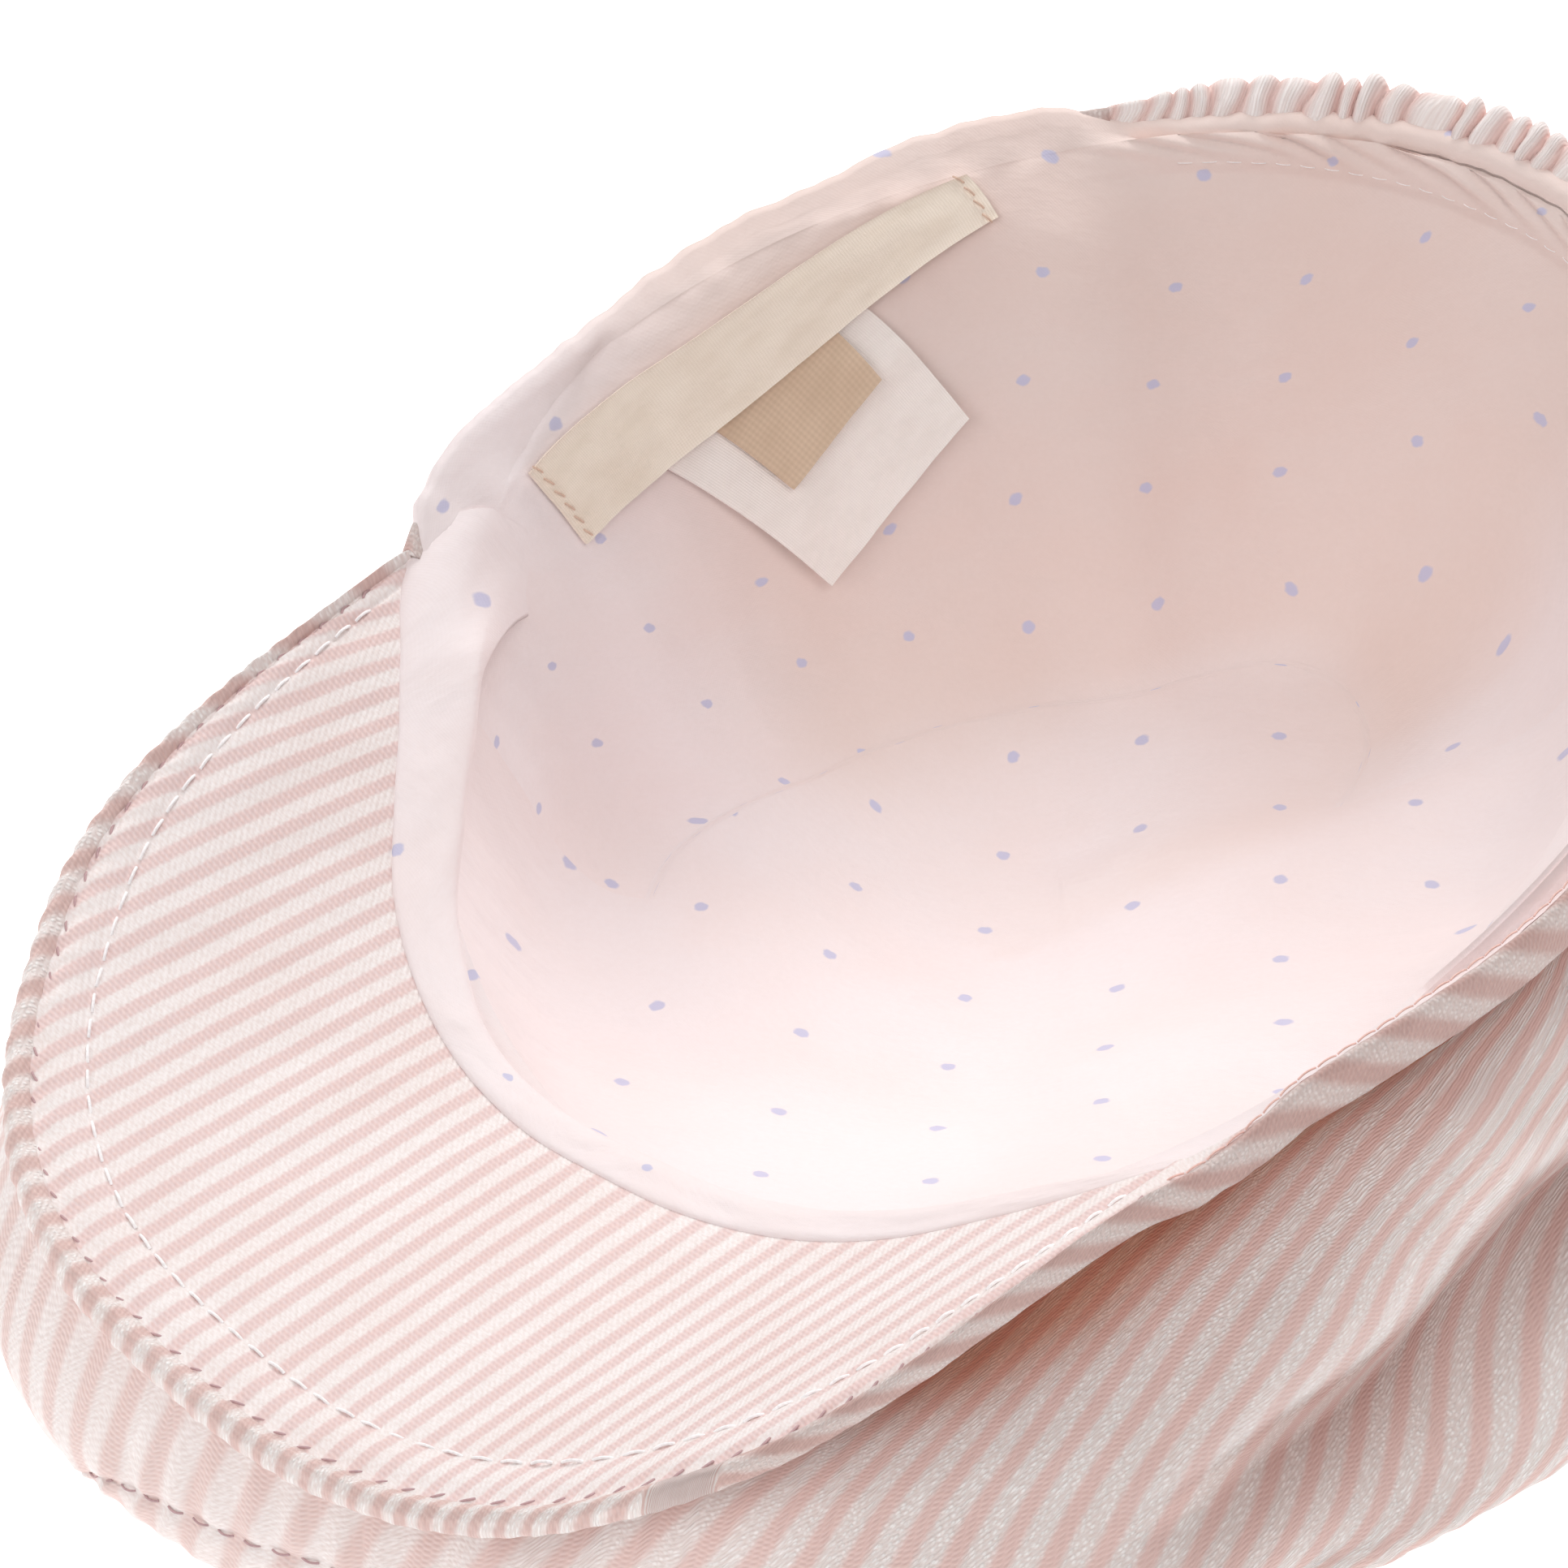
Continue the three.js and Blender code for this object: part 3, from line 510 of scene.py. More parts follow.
def shell(name, front, back, cloth, material_name, ring=False):
    """Closed shell between two sheets of rows x columns of points.

    A ring closes each row on itself. "cloth" holds the cloth coordinates of the points, with
    one more column for a ring. A last row of one repeated point is a pole.
    """
    rows, columns, wide = *front.shape[:2], cloth.shape[1]
    spans = columns if ring else columns - 1
    i, j = grid(rows - 1, spans)
    patches = [[(side, i + a, j + b) for a, b in CORNERS[:: 1 - 2 * side]] for side in (0, 1)]
    k = np.arange(spans)
    pole = np.allclose(front[-1], front[-1][0])
    for row in [0] if pole else [0, rows - 1]:
        patches.append([(side, row, k + b) for side, b in (CORNERS if row else CORNERS_TURNED)])
    k = np.arange(rows - 1)
    for column in [] if ring else [0, columns - 1]:
        patches.append([(side, k + a, column) for side, a in (CORNERS_TURNED if column else CORNERS)])
    number = lambda patch, n: np.stack([(side * rows + i) * n + j % n for side, i, j in patch], -1)
    faces, faces_uv = (np.concatenate([number(patch, n) for patch in patches]) for n in (columns, wide))
    points = np.concatenate([front.reshape(-1, 3), back.reshape(-1, 3)])
    made = mesh_object(name, points, faces, faces_uv, np.tile(cloth.reshape(-1, 2), (2, 1)), material_name)
    with edited(made) as work:
        bmesh.ops.remove_doubles(work, verts=work.verts, dist=1e-7)
        bmesh.ops.dissolve_degenerate(work, dist=1e-8, edges=work.edges)
        for edge in work.edges:
            edge.smooth = edge.calc_face_angle(0.0) < SHARP_EDGE
    return made


def swept(name, rings, cloth, material_name):
    """Closed solid swept through closed outlines: rings is steps x outline x 3."""
    steps, count = rings.shape[:2]
    i, j = grid(steps - 1, count)
    faces = np.stack([(i + a) * count + (j + b) % count for a, b in CORNERS], -1)
    faces_uv = np.stack([(i + a) * (count + 1) + j + b for a, b in CORNERS], -1)
    made = mesh_object(name, rings.reshape(-1, 3), faces, faces_uv, cloth.reshape(-1, 2), material_name)
    with edited(made) as work:
        open_edges = [e for e in work.edges if e.is_boundary]
        for edge in open_edges:
            edge.smooth = False
        bmesh.ops.holes_fill(work, edges=open_edges, sides=0)
        bmesh.ops.triangulate(work, faces=[f for f in work.faces if len(f.verts) > 4])
    return made


def add_shade(made, **shades):
    """Numbers at each point, which the cloth's material reads."""
    for name, values in shades.items():
        layer = made.data.attributes.new(name, "FLOAT", "POINT")
        layer.data.foreach_set("value", np.broadcast_to(values, len(made.data.vertices)).astype(np.float32))


def dress(piece, slot, *nodes):
    """Makes a piece ride with the cap and stand for its CAD nodes."""
    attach(piece, "root")
    if nodes:
        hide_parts(*nodes)
    return piece


# ---- materials ------------------------------------------------------------------------
def to_linear(code):
    """Linear colour of an sRGB hex code."""
    values = [int(code[i : i + 2], 16) / 255 for i in (1, 3, 5)]
    return [v / 12.92 if v <= 0.04045 else ((v + 0.055) / 1.055) ** 2.4 for v in values]


class Signal:
    """Output of a node, which takes part in plain arithmetic."""

    def __init__(self, socket):
        self.socket = socket

    def worked(self, operation, *others):
        inputs = dict(enumerate((self, *others)))
        return add(self.socket.id_data, "ShaderNodeMath", inputs, operation=operation)

    def __add__(self, other):
        return self.worked("ADD", other)

    def __sub__(self, other):
        return self.worked("SUBTRACT", other)

    def __mul__(self, other):
        return self.worked("MULTIPLY", other)

    def __truediv__(self, other):
        return self.worked("DIVIDE", other)


def add(tree, kind, inputs=None, output=0, **options):
    """Adds a node with its options and its inputs, and gives the signal of one output."""
    made = tree.nodes.new(kind)
    for name, value in options.items():
        setattr(made, name, value)
    for key, value in (inputs or {}).items():
        socket = made.inputs[key]
        if isinstance(value, Signal):
            tree.links.new(value.socket, socket)
        elif socket.type == "RGBA":
            colour = to_linear(value) if isinstance(value, str) else value
            socket.default_value = (*colour[:3], 1.0)
        else:
            socket.default_value = value
    return Signal(made.outputs[output]) if len(made.outputs) else None


def cloth_patterns(tree, *noises):
    """Place on the flat cloth in millimetres, its u and v, and noises by their scales and detail."""
    cloth = add(tree, "ShaderNodeUVMap", uv_map="cloth_mm")
    u, v = (add(tree, "ShaderNodeSeparateXYZ", {0: cloth}, k) for k in (0, 1))
    found = []
    for x, y, detail in noises:
        scaled = add(tree, "ShaderNodeMapping", {"Vector": cloth, "Scale": (x, y, 1)}, vector_type="POINT")
        found.append(add(tree, "ShaderNodeTexNoise", {"Vector": scaled, "Scale": 1.0, "Detail": detail}))
    return cloth, u, v, found


def striped_cotton(tree, period, pink_share, nub, fray, white, pink):
    """Yarn-dyed cotton: matt, nubby white stripes that catch the light, and flatter pink ones.

    Ribs and twill of the real cloth are about 0.4 mm apart; they are drawn coarser, to show.
    """
    noises = ((0.5, 0.12, 2), (1.9, 1.9, 1), (0.07, 0.05, 2), (1.3, 3.2, 2))
    cloth, u, v, (wander, frayed, cloud, speck) = cloth_patterns(tree, *noises)
    wavy = u + (wander - 0.5) * 0.25 + (frayed - 0.5) * 0.5
    away = ((wavy / period).worked("FRACT") - 0.5).worked("ABSOLUTE")
    # nubs: short bright slubs lying aslant on the white stripes, where the cloth has nubs; their bump is real, while
    # their bright tops are a painted highlight and the grey ground between them painted shade
    inputs = {"Vector": cloth, "Rotation": (0, 0, 0.6), "Scale": (1.6, 1.35, 1)}
    aslant = add(tree, "ShaderNodeMapping", inputs, vector_type="POINT")
    inputs = {"Vector": aslant, "Scale": 1.0, "Randomness": 0.75}
    cells = add(tree, "ShaderNodeTexVoronoi", inputs, "Distance", voronoi_dimensions="2D")
    steps = (
        (away, pink_share / 2 + fray, pink_share / 2 - fray, 0.0, 1.0),
        (cells, 0.5, 0.08, 0.0, 1.0),
        (speck, 0.62, 0.36, 0.0, 0.28),
        (speck, 0.36, 0.66, 0.0, 0.35),
        (cloud, 0.35, 0.7, 0.0, 0.1),
    )
    is_pink, slub, dim, fresh, cloudy = (
        add(tree, "ShaderNodeMapRange", dict(enumerate(step)), **SOFT_STEP) for step in steps
    )
    names = ("nubby", "hollow", "lee")
    nubby, hollow, lee = (
        add(tree, "ShaderNodeAttribute", output="Fac", attribute_name=name) for name in names
    )
    # A low nub value also pales the cloth, which paints the highlight on the long fold's lip.
    if nub > MOST_EVEN_NUB:
        nub = nubby * (nub - 0.15) + 0.15
        pink = add(tree, "ShaderNodeMix", {0: nub * -0.6 + 0.48, 6: pink, 7: white}, **TINT)
    # ribs: fine threads across the pink stripes, and the twill line over all
    rib, twill = (
        (way * (2 * math.pi / length)).worked("SINE") * 0.5 + 0.5 for way, length in ((v, 0.62), (u + v * 0.9, 0.78))
    )
    # Painted shade greys the ground between the nubs, and a painted highlight whitens their tops.
    ground = add(tree, "ShaderNodeMix", {0: nub * 0.42, 6: white, 7: "#c9bbb3"}, **TINT)
    bright = add(tree, "ShaderNodeMix", {0: nub, 6: white, 7: "#fffdfb"}, **TINT)
    white_tone = add(tree, "ShaderNodeMix", {0: slub, 6: ground, 7: bright}, **TINT)
    white_tone = add(tree, "ShaderNodeMix", {0: dim, 6: white_tone, 7: "#d9c2b9"}, **TINT)
    pink_tone = add(tree, "ShaderNodeMix", {0: fresh, 6: pink, 7: "#f3d5cc"}, **TINT)
    pink_tone = add(tree, "ShaderNodeMix", {0: rib * 0.22, 6: pink_tone, 7: "#c79c94"}, **TINT)
    colour = add(tree, "ShaderNodeMix", {0: is_pink, 6: white_tone, 7: pink_tone}, **TINT)
    # The last two tints are painted shade: in the hollow under the rolled edge, under the long fold's lip, and on
    # the rims' roll.
    shades = ((cloudy, "#e8cfc4"), (twill * 0.07, "#b98d84"), (hollow, "#dcac96"), (lee, "#c4b0ab"))
    for share, darker in shades:
        inputs = {0: share, 6: colour, 7: darker}
        colour = add(tree, "ShaderNodeMix", inputs, blend_type="MULTIPLY", **TINT)
    white_height = slub * nub + twill * 0.35
    height = white_height + (rib * 0.3 + twill * 0.3 - white_height) * is_pink
    bump = add(tree, "ShaderNodeBump", {"Height": height, "Strength": 0.55, "Distance": 0.00028})
    sheen = {"Sheen Weight": 0.25, "Sheen Roughness": 0.5}
    return {"Base Color": colour, "Normal": bump, "Roughness": 0.92, "Specular IOR Level": 0.25, **sheen}


def dotted_lawn(tree, base, dot, spacing, size):
    """Thin plain-woven cotton lawn: matt and softly crumpled, printed with small dots.

    Its real threads are about 0.2 mm apart; they are drawn coarser, to show.
    """
    noises = ((1.1, 1.1, 1), (0.035, 0.035, 3), (1.4, 1.4, 3), (0.12, 0.2, 4))
    _, u, v, (wobble, cloud, fibre, creases) = cloth_patterns(tree, *noises)
    x, y = (((way / spacing).worked("FRACT") - 0.5) * spacing for way in (u, v))
    away = (x * x + y * y).worked("SQRT") + (wobble - 0.5) * 0.5
    steps = (
        (away, size / 2 + 0.16, size / 2 - 0.16, 0.0, 1.0),
        (cloud, 0.36, 0.66, 0.0, 0.45),
        (fibre, 0.35, 0.65, 0.0, 0.05),
    )
    is_dot, cloudy, fibrous = (
        add(tree, "ShaderNodeMapRange", dict(enumerate(step)), **SOFT_STEP) for step in steps
    )
    warp, weft = ((way * (2 * math.pi / 0.42)).worked("SINE") for way in (u, v))
    # Painted shade: the lining's far wall is tinted darker and warmer.
    deep = add(tree, "ShaderNodeAttribute", output="Fac", attribute_name="deep")
    layers = (
        (cloudy, "#f0dedb", "MIX"),
        (fibrous, "#e3c9c0", "MIX"),
        (deep, "#f7efe8", "MULTIPLY"),
        (is_dot * 0.9, dot, "MIX"),
    )
    colour = base
    for share, over, blend_type in layers:
        colour = add(tree, "ShaderNodeMix", {0: share, 6: colour, 7: over}, blend_type=blend_type, **TINT)
    inputs = {"Height": warp * weft * 0.5 + 0.5, "Strength": 0.12, "Distance": 0.0001}
    inputs = {"Normal": add(tree, "ShaderNodeBump", inputs), "Height": creases, "Strength": 0.25, "Distance": 0.0016}
    bump = add(tree, "ShaderNodeBump", inputs)
    return {"Base Color": colour, "Normal": bump, "Roughness": 0.9, "Specular IOR Level": 0.2, "Sheen Weight": 0.15}


def woven_tape(tree, base, dark, rib, roughness):
    """Woven label tape: fine ribs across it and a tight weave, with a faint satin gleam."""
    _, u, v, (cloud,) = cloth_patterns(tree, (0.12, 0.3, 3))
    ribs, threads = ((way * (2 * math.pi / length)).worked("SINE") for way, length in ((u, rib), (v, rib * 0.8)))
    weave = (ribs + threads * 0.6) * 0.31 + 0.5
    worn = add(tree, "ShaderNodeMapRange", dict(enumerate((cloud, 0.35, 0.7, 0.0, 0.35))), **SOFT_STEP)
    colour = add(tree, "ShaderNodeMix", {0: weave * 0.5, 6: base, 7: dark}, **TINT)
    colour = add(tree, "ShaderNodeMix", {0: worn, 6: colour, 7: dark}, **TINT)
    bump = add(tree, "ShaderNodeBump", {"Height": weave, "Strength": 0.35, "Distance": 0.00012})
    return {"Base Color": colour, "Normal": bump, "Roughness": roughness, "Sheen Weight": 0.1}


def sewing_thread(tree, colour):
    """Twisted sewing cotton: a soft gleam, with the grooves of its twist darkened as painted shade."""
    place_on = add(tree, "ShaderNodeTexCoord", output="Object")
    twist = add(tree, "ShaderNodeTexNoise", {"Vector": place_on, "Scale": 2600.0, "Detail": 1.0})
    # Painted shade: darker patches for the grooves of the twist.
    groove = add(tree, "ShaderNodeMapRange", dict(enumerate((twist, 0.4, 0.65, 0.0, 0.35))), **SOFT_STEP)
    tone = add(tree, "ShaderNodeMix", {0: groove, 6: colour, 7: times(colour, 0.72)}, **TINT)
    return {"Base Color": tone, "Roughness": 0.7, "Sheen Weight": 0.2}


def white_board(tree):
    """Matt painted board, lit a little from itself so that it stays white in soft light."""
    glow = {"Emission Color": "#ffffff", "Emission Strength": FLOOR_GLOW}
    return {"Base Color": "#fbfafa", "Roughness": 0.8, "Specular IOR Level": 0.1, **glow}


def times(colour, share):
    return [c * share for c in colour]


def material(name):
    """Material of that name, made the first time it is asked for."""
    found = bpy.data.materials.get(name)
    if found:
        return found
    cap = settings()
    white, pink, soft_pink = (tuple(c) for c in (cap.white_yarn, cap.pink_yarn, cap.soft_pink_yarn))
    lengths = (cap.stripe_period, cap.visor_stripe_period, cap.dot_spacing, cap.dot_size)
    period, visor_period, dot_spacing, dot_size = (length * 1000 for length in lengths)
    # maker, then what it is given: for cotton the stripe, share of pink, nubs, fray and colours
    recipes = {
        "striped_cotton_nubby": (striped_cotton, period, 0.44, 0.8, 0.11, white, pink),
        "striped_cotton_visor": (
            striped_cotton, visor_period, 0.46, 0.05, 0.09, times(white, 0.95), times(soft_pink, 0.93)
        ),
        "striped_cotton_edge": (striped_cotton, period, 0.5, 0.7, 0.14, white, times(pink, 0.84)),
        "striped_cotton_gathered": (striped_cotton, period, 0.4, 0.3, 0.2, white, pink),
        "dotted_lawn": (dotted_lawn, cap.lining_colour, cap.dot_colour, dot_spacing, dot_size),
        "cream_woven_tape": (woven_tape, cap.cream_tape, "#dfccb8", 0.34, 0.62),
        "tan_woven_tape": (woven_tape, cap.tan_tape, "#c3a78c", 0.7, 0.65),
        "white_satin_ribbon": (woven_tape, cap.white_ribbon, "#ecdfd8", 0.3, 0.45),
        "white_board": (white_board,),
    }
    maker, *given = recipes[name] if name in recipes else (sewing_thread, getattr(cap, name))
    made = bpy.data.materials.new(name)
    made.use_nodes = True
    tree = made.node_tree
    tree.nodes.clear()
    add(tree, "ShaderNodeOutputMaterial", {"Surface": add(tree, "ShaderNodeBsdfPrincipled", maker(tree, *given))})
    return made


# ---- crown ----------------------------------------------------------------------------
def crown_curve(angle):
    read = lambda column: around(CROWN, column, angle)
    belly = read("belly_out")
    seam = belly - read("under")
    return [
        (read("start_out"), opening_height(angle) - read("low")),
        (read("tuck_out"), read("tuck_height")),
        (read("drape_out"), read("drape_height")),
        (belly, read("belly_height")),
        *((seam + out, height) for out, height in CROWN_FOOT),
    ]


def crown_folds(angle, reach):
    total = 0
    for angle_a, reach_a, angle_b, reach_b, width, height in CROWN_FOLDS:
        end = ((angle_b - angle_a) * FOLD_SCALE, (reach_b - reach_a) * WALL_LENGTH)
        x, y = signed(angle - angle_a) * FOLD_SCALE, (reach - reach_a) * WALL_LENGTH
        total = total + ridge(x, y, (0, 0), end, width, height)
    return total


def crown_point(angle, reach, depth, extra=0.0):
    """Point of the crown's outer face, or of the inner one at a depth."""
    out, height, nx, ny = off_curve(crown_curve(angle), reach * (4 / 6))
    fade = smooth(reach / 0.2) * (1 - 0.6 * smooth((reach - 0.8) / 0.2))
    low = np.clip((reach - 1) / 0.3, 0, 1)
    move = crown_folds(angle, np.minimum(reach, 1)) * fade * (1 - low) + extra - depth
    ceiling = opening_height(angle) - around(CROWN, "low", angle) + 25 * smooth(reach / 0.4)
    return place(angle, out + nx * move, np.minimum(np.maximum(height + ny * move, depth), ceiling))


def wall_distance(angle):
    """Distance round the crown wall from the visor's middle, in millimetres."""
    angles = np.linspace(-180, 180, 721)
    along = arc_length(crown_point(angles, np.full_like(angles, 0.6), 0.0))
    return np.interp(angle, angles, along - np.interp(0, angles, along))


def stripe_lean(angle, reach):
    """Lean of the crown's stripes, eased between the table's reaches and angles."""
    side = np.abs(signed(angle))
    columns = [straight(STRIPE_LEAN, f"at_{r:.2f}", side) for r in LEAN_REACHES]
    slope = (columns[1] - columns[0]) / (LEAN_REACHES[1] - LEAN_REACHES[0])
    lean = columns[0] + slope * np.minimum(reach - LEAN_REACHES[0], 0)
    for low, high, column in zip(LEAN_REACHES, LEAN_REACHES[1:], columns[1:]):
        lean = mix(lean, column, np.clip((reach - low) / (high - low), 0, 1))
    return lean * np.sign(signed(angle))


def across_stripes(angle, reach):
    """Distance across the crown's stripes, in millimetres, with their lean averaged over a ring."""
    turns = np.linspace(0, 2 * math.pi, 13)[1:]
    near = [(3.0 * math.cos(t), 0.03 * math.sin(t)) for t in turns] + [(0.0, 0.0)]
    lean = sum(stripe_lean(angle + turn, reach + down) for turn, down in near) / len(near)
    return wall_distance(angle) + lean


def crown_seam(angle):
    return straight(CROWN_SEAM, "reach", signed(angle))


def crown_wrinkles(angle, reach):
    """Small unevenness of the crown cloth, with puckers beside its low seam."""
    along, down = wall_distance(angle), reach * WALL_LENGTH
    soft = 0.55 * soft_noise(along / 21, down / 15, 3) + 0.16 * soft_noise(along / 7, down / 6, 5)
    from_seam = np.abs(reach - crown_seam(angle)) * WALL_LENGTH
    pucker = np.sin(2 * math.pi * (along + 0.35 * from_seam) / 5.2 + 1.3 * soft_noise(along / 12, 0.0, 8))
    pucker = 0.62 * pucker * np.exp(-from_seam / 6.5) * (1 - np.exp(-from_seam / 0.8))
    groove = -0.75 * np.exp(-((from_seam / 0.9) ** 2))
    low = 1 - smooth((reach - 1.0) / 0.35)
    return (soft * smooth(reach / 0.15) + pucker) * low + groove + crown_sag(angle, reach)


def sag_at(angle, reach=0.0):
    """How far below the long fold's lip a point lies, and how far the lip stands out there."""
    return (reach - straight(CROWN_SAG, "reach", angle)) * WALL_LENGTH, straight(CROWN_SAG, "out", angle)


def crown_sag(angle, reach):
    """The long fold: a slow rise to its lip, then a steep drop."""
    below, out = sag_at(angle, reach)
    rise = 0.78 * np.exp(-((below / 13) ** 2)) + 0.22 * np.exp(-(((below + 0.9) / 2.0) ** 2))
    return out * np.where(below < 0, rise, (1 - smooth(below / 3.0)) * rise)


def crown_nubs_and_lip_highlight(angle, reach):
    """How many nubs the crown's cloth shows: least beside the visor, and lowered on the long fold's lip as a painted
    highlight that pales the cloth.
    """
    turn = signed(angle)
    below, out = sag_at(angle, reach)
    # Painted highlight: fewer nubs and paler cloth along the long fold's lip.
    lip = np.clip(out / 6, 0, 1) * np.exp(-(((below + 1.2) / 1.5) ** 2))
    return np.where(turn > 0, smooth((turn - 4) / 42), smooth((-turn - 60) / 50)) * (1 - 0.85 * lip)


def crown_hollow_shade(angle, reach):
    """How far a point lies into the painted shade under the rolled edge's overhang, 0 to 1."""
    return smooth((straight(CROWN_HOLLOW_SHADE, "reach", signed(angle)) - reach) / 0.12)


def crown_lee_shade(angle, reach):
    """How far a point lies into the painted shade under the long fold's lip, 0 to 1."""
    below, out = sag_at(angle, reach)
    return np.clip(out / 8.5, 0, 1) * smooth((below + 0.9) / 1.2) * (1 - smooth((below - 2) / 16))


def gathered_reaches(angle, rows):
    """Reaches of the rows at an angle, closer together near the long fold's lip."""
    fine = 1 - np.linspace(1, 0, 400) ** 1.15
    below, out = sag_at(angle, fine)
    weight = 1 + 2.2 * np.clip(out / 6, 0, 1) * np.exp(-((below / WALL_LENGTH / 0.05) ** 2))
    share = np.cumsum(weight)
    share = (share - share[0]) / (share[-1] - share[0])
    return np.interp(np.linspace(0, 1, rows), share, fine)


def crown_panel(name, start, end, columns, rows):
    angles = np.linspace(start, end, columns)
    angle = np.broadcast_to(angles, (rows, columns))
    reach = np.stack([gathered_reaches(a, rows) for a in angles], 1)
    extra = crown_wrinkles(angle, reach)
    front, back = (crown_point(angle, reach, depth, extra) for depth in (0.0, SHELL_CLOTH))
    down = arc_length(front)
    cloth = np.stack([across_stripes(angle, reach), down - down[-1]], -1)
    made = shell(name, front, back, cloth, "striped_cotton_nubby")
    # Painted shade in the hollow under the rolled edge and under the fold's lip, and a painted highlight on the lip
    # through the nub value.
    shades = {"hollow": crown_hollow_shade, "lee": crown_lee_shade, "nubby": crown_nubs_and_lip_highlight}
    add_shade(made, **{key: np.tile(share(angle, reach).ravel(), 2) for key, share in shades.items()})
    return made


def crown_top():
    angles = np.linspace(-180, 180, 481)[:-1]
    angle, reach = np.meshgrid(angles, 1 + 0.5 * np.linspace(0, 1, 30) ** 1.1)
    extra = crown_wrinkles(angle, reach)
    sheets = []
    for depth in (0.0, SHELL_CLOTH):
        outer = crown_point(angle, reach, depth, extra)
        outer[..., 2] = np.maximum(outer[..., 2], depth)
        inward = np.linspace(0, 1, 24)[1:, None, None]
        middle = np.array([*CROWN_MIDDLE, depth])
        sheets.append(np.concatenate([outer, mix(outer[-1][None], middle, inward)]))
    ring = closed(sheets[0])
    cloth = np.stack([ring[..., 0] + 0.9, ring[..., 1]], -1)
    made = shell("crown_top_cloth", *sheets, cloth, "striped_cotton_nubby", ring=True)
    add_shade(made, nubby=0.6)
    return made


# ---- rolled edge and gathered back ----------------------------------------------------
def rim_drift(angle):
    return around(RIM_DRIFT, "out", angle)


def crown_low(angle):
    """How far the rolled edge reaches down from the opening's line."""
    return around(CROWN, "low", angle) - 0.3


def roll_height(angle):
    """How far the rolled edge stands above the opening's line."""
    return mix(1.7, ROLL_ABOVE, smooth((np.abs(signed(angle)) - ROLL_START) / 12))


def fine_outline(outline):
    """Closed outline with a point eased in between each two, and its girth when stretched."""
    points = np.array(outline)
    near = [np.roll(points, -step, 0) for step in (-1, 0, 1, 2)]
    return np.stack([blend(*near, t) for t in (0.0, 0.5)], 1).reshape(-1, 2)


def girth_of(fine, width, height):
    return arc_length(np.concatenate([fine, fine[:1]]) * [width, height])


def roll_shape(thickness, low, high, swell):
    """How far in and how high each point of the roll's outline lies, with its girth."""
    fine = fine_outline(ROLL_OUTLINE)
    inward, upward = fine[None, :, 0], fine[None, :, 1]
    nx, ny = inward - 0.48, upward - 0.5
    size = np.hypot(nx, ny)
    height = mix(-low, high, upward) + ny / size * swell
    return inward * thickness + nx / size * swell, height, girth_of(fine, 3.0, 6.0)


def roll_swell(along, ring):
    return 0.16 * soft_noise(along / 6.5, ring * 7, 11) + 0.07 * soft_noise(along / 2.2, ring * 13, 12)


def roll_cloth(along, girth):
    """Cloth coordinates of the roll, cut on the bias so that its stripes lie aslant."""
    return np.stack([along * 0.54 - girth[None] * 0.84, along * 0.84 + girth[None] * 0.54], -1)


def rim_rings(angles, outer, thickness, low, high, swell):
    inward, height, girth = roll_shape(thickness, low, high, swell)
    return by_rim(angles[:, None], outer - inward, height), girth


def rolled_edge(name, start, end):
    angles = np.linspace(start, end, 300)
    along = arc_length(by_rim(angles, 0.0))[:, None]
    low, high, outer = (part(angles)[:, None] for part in (crown_low, roll_height, rim_drift))
    rings, girth = rim_rings(angles, outer, RIM_THICKNESS, low, high, roll_swell(along, RING))
    made = swept(name, rings, roll_cloth(along, girth), "striped_cotton_edge")
    # Painted shade: the rim's roll is tinted darker all along.
    add_shade(made, lee=RIM_SHADE)
    return made


def visor_roll():
    """Roll along the visor's outer edge, which runs on into the rim at its near end."""
    sides = visor_sides(620)
    inner, across, up, width = visor_frame(sides)
    edge = inner + across * width[:, None]
    near = arc_length(edge)[:, None]
    along = near - near[-1]
    to_rim = np.where(sides > 0, smooth((sides - 0.62) / 0.36), smooth((-sides - 0.9) / 0.09))[:, None]
    pillows = 0.16 * edge_tug(near) * (1 - to_rim) * np.clip(np.sin(math.pi * RING * 1.6), 0, 1)
    low = mix(2.7, float(crown_low(VISOR_CORNER)), to_rim)
    high = mix(0.85, float(roll_height(VISOR_CORNER)), to_rim)
    thickness = mix(VISOR_ROLL, RIM_THICKNESS, to_rim)
    inward, height, girth = roll_shape(thickness, low, high, roll_swell(along, RING) + pillows)
    rings = edge[:, None] - across[:, None] * inward[..., None] + up[:, None] * height[..., None]
    cap = settings()
    wrapped = visor_cloth(closed(rings)) * [cap.stripe_period / cap.visor_stripe_period, 1.0]
    cloth = mix(wrapped, roll_cloth(along, girth), smooth((sides - 0.5) / 0.08)[:, None, None])
    made = swept("visor_edge_roll", rings, cloth, "striped_cotton_edge")
    # Painted shade: the roll is tinted darker towards its near end, where it runs into the rim.
    add_shade(made, lee=np.repeat(RIM_SHADE * smooth((sides - 0.5) / 0.15), rings.shape[1]))
    return made


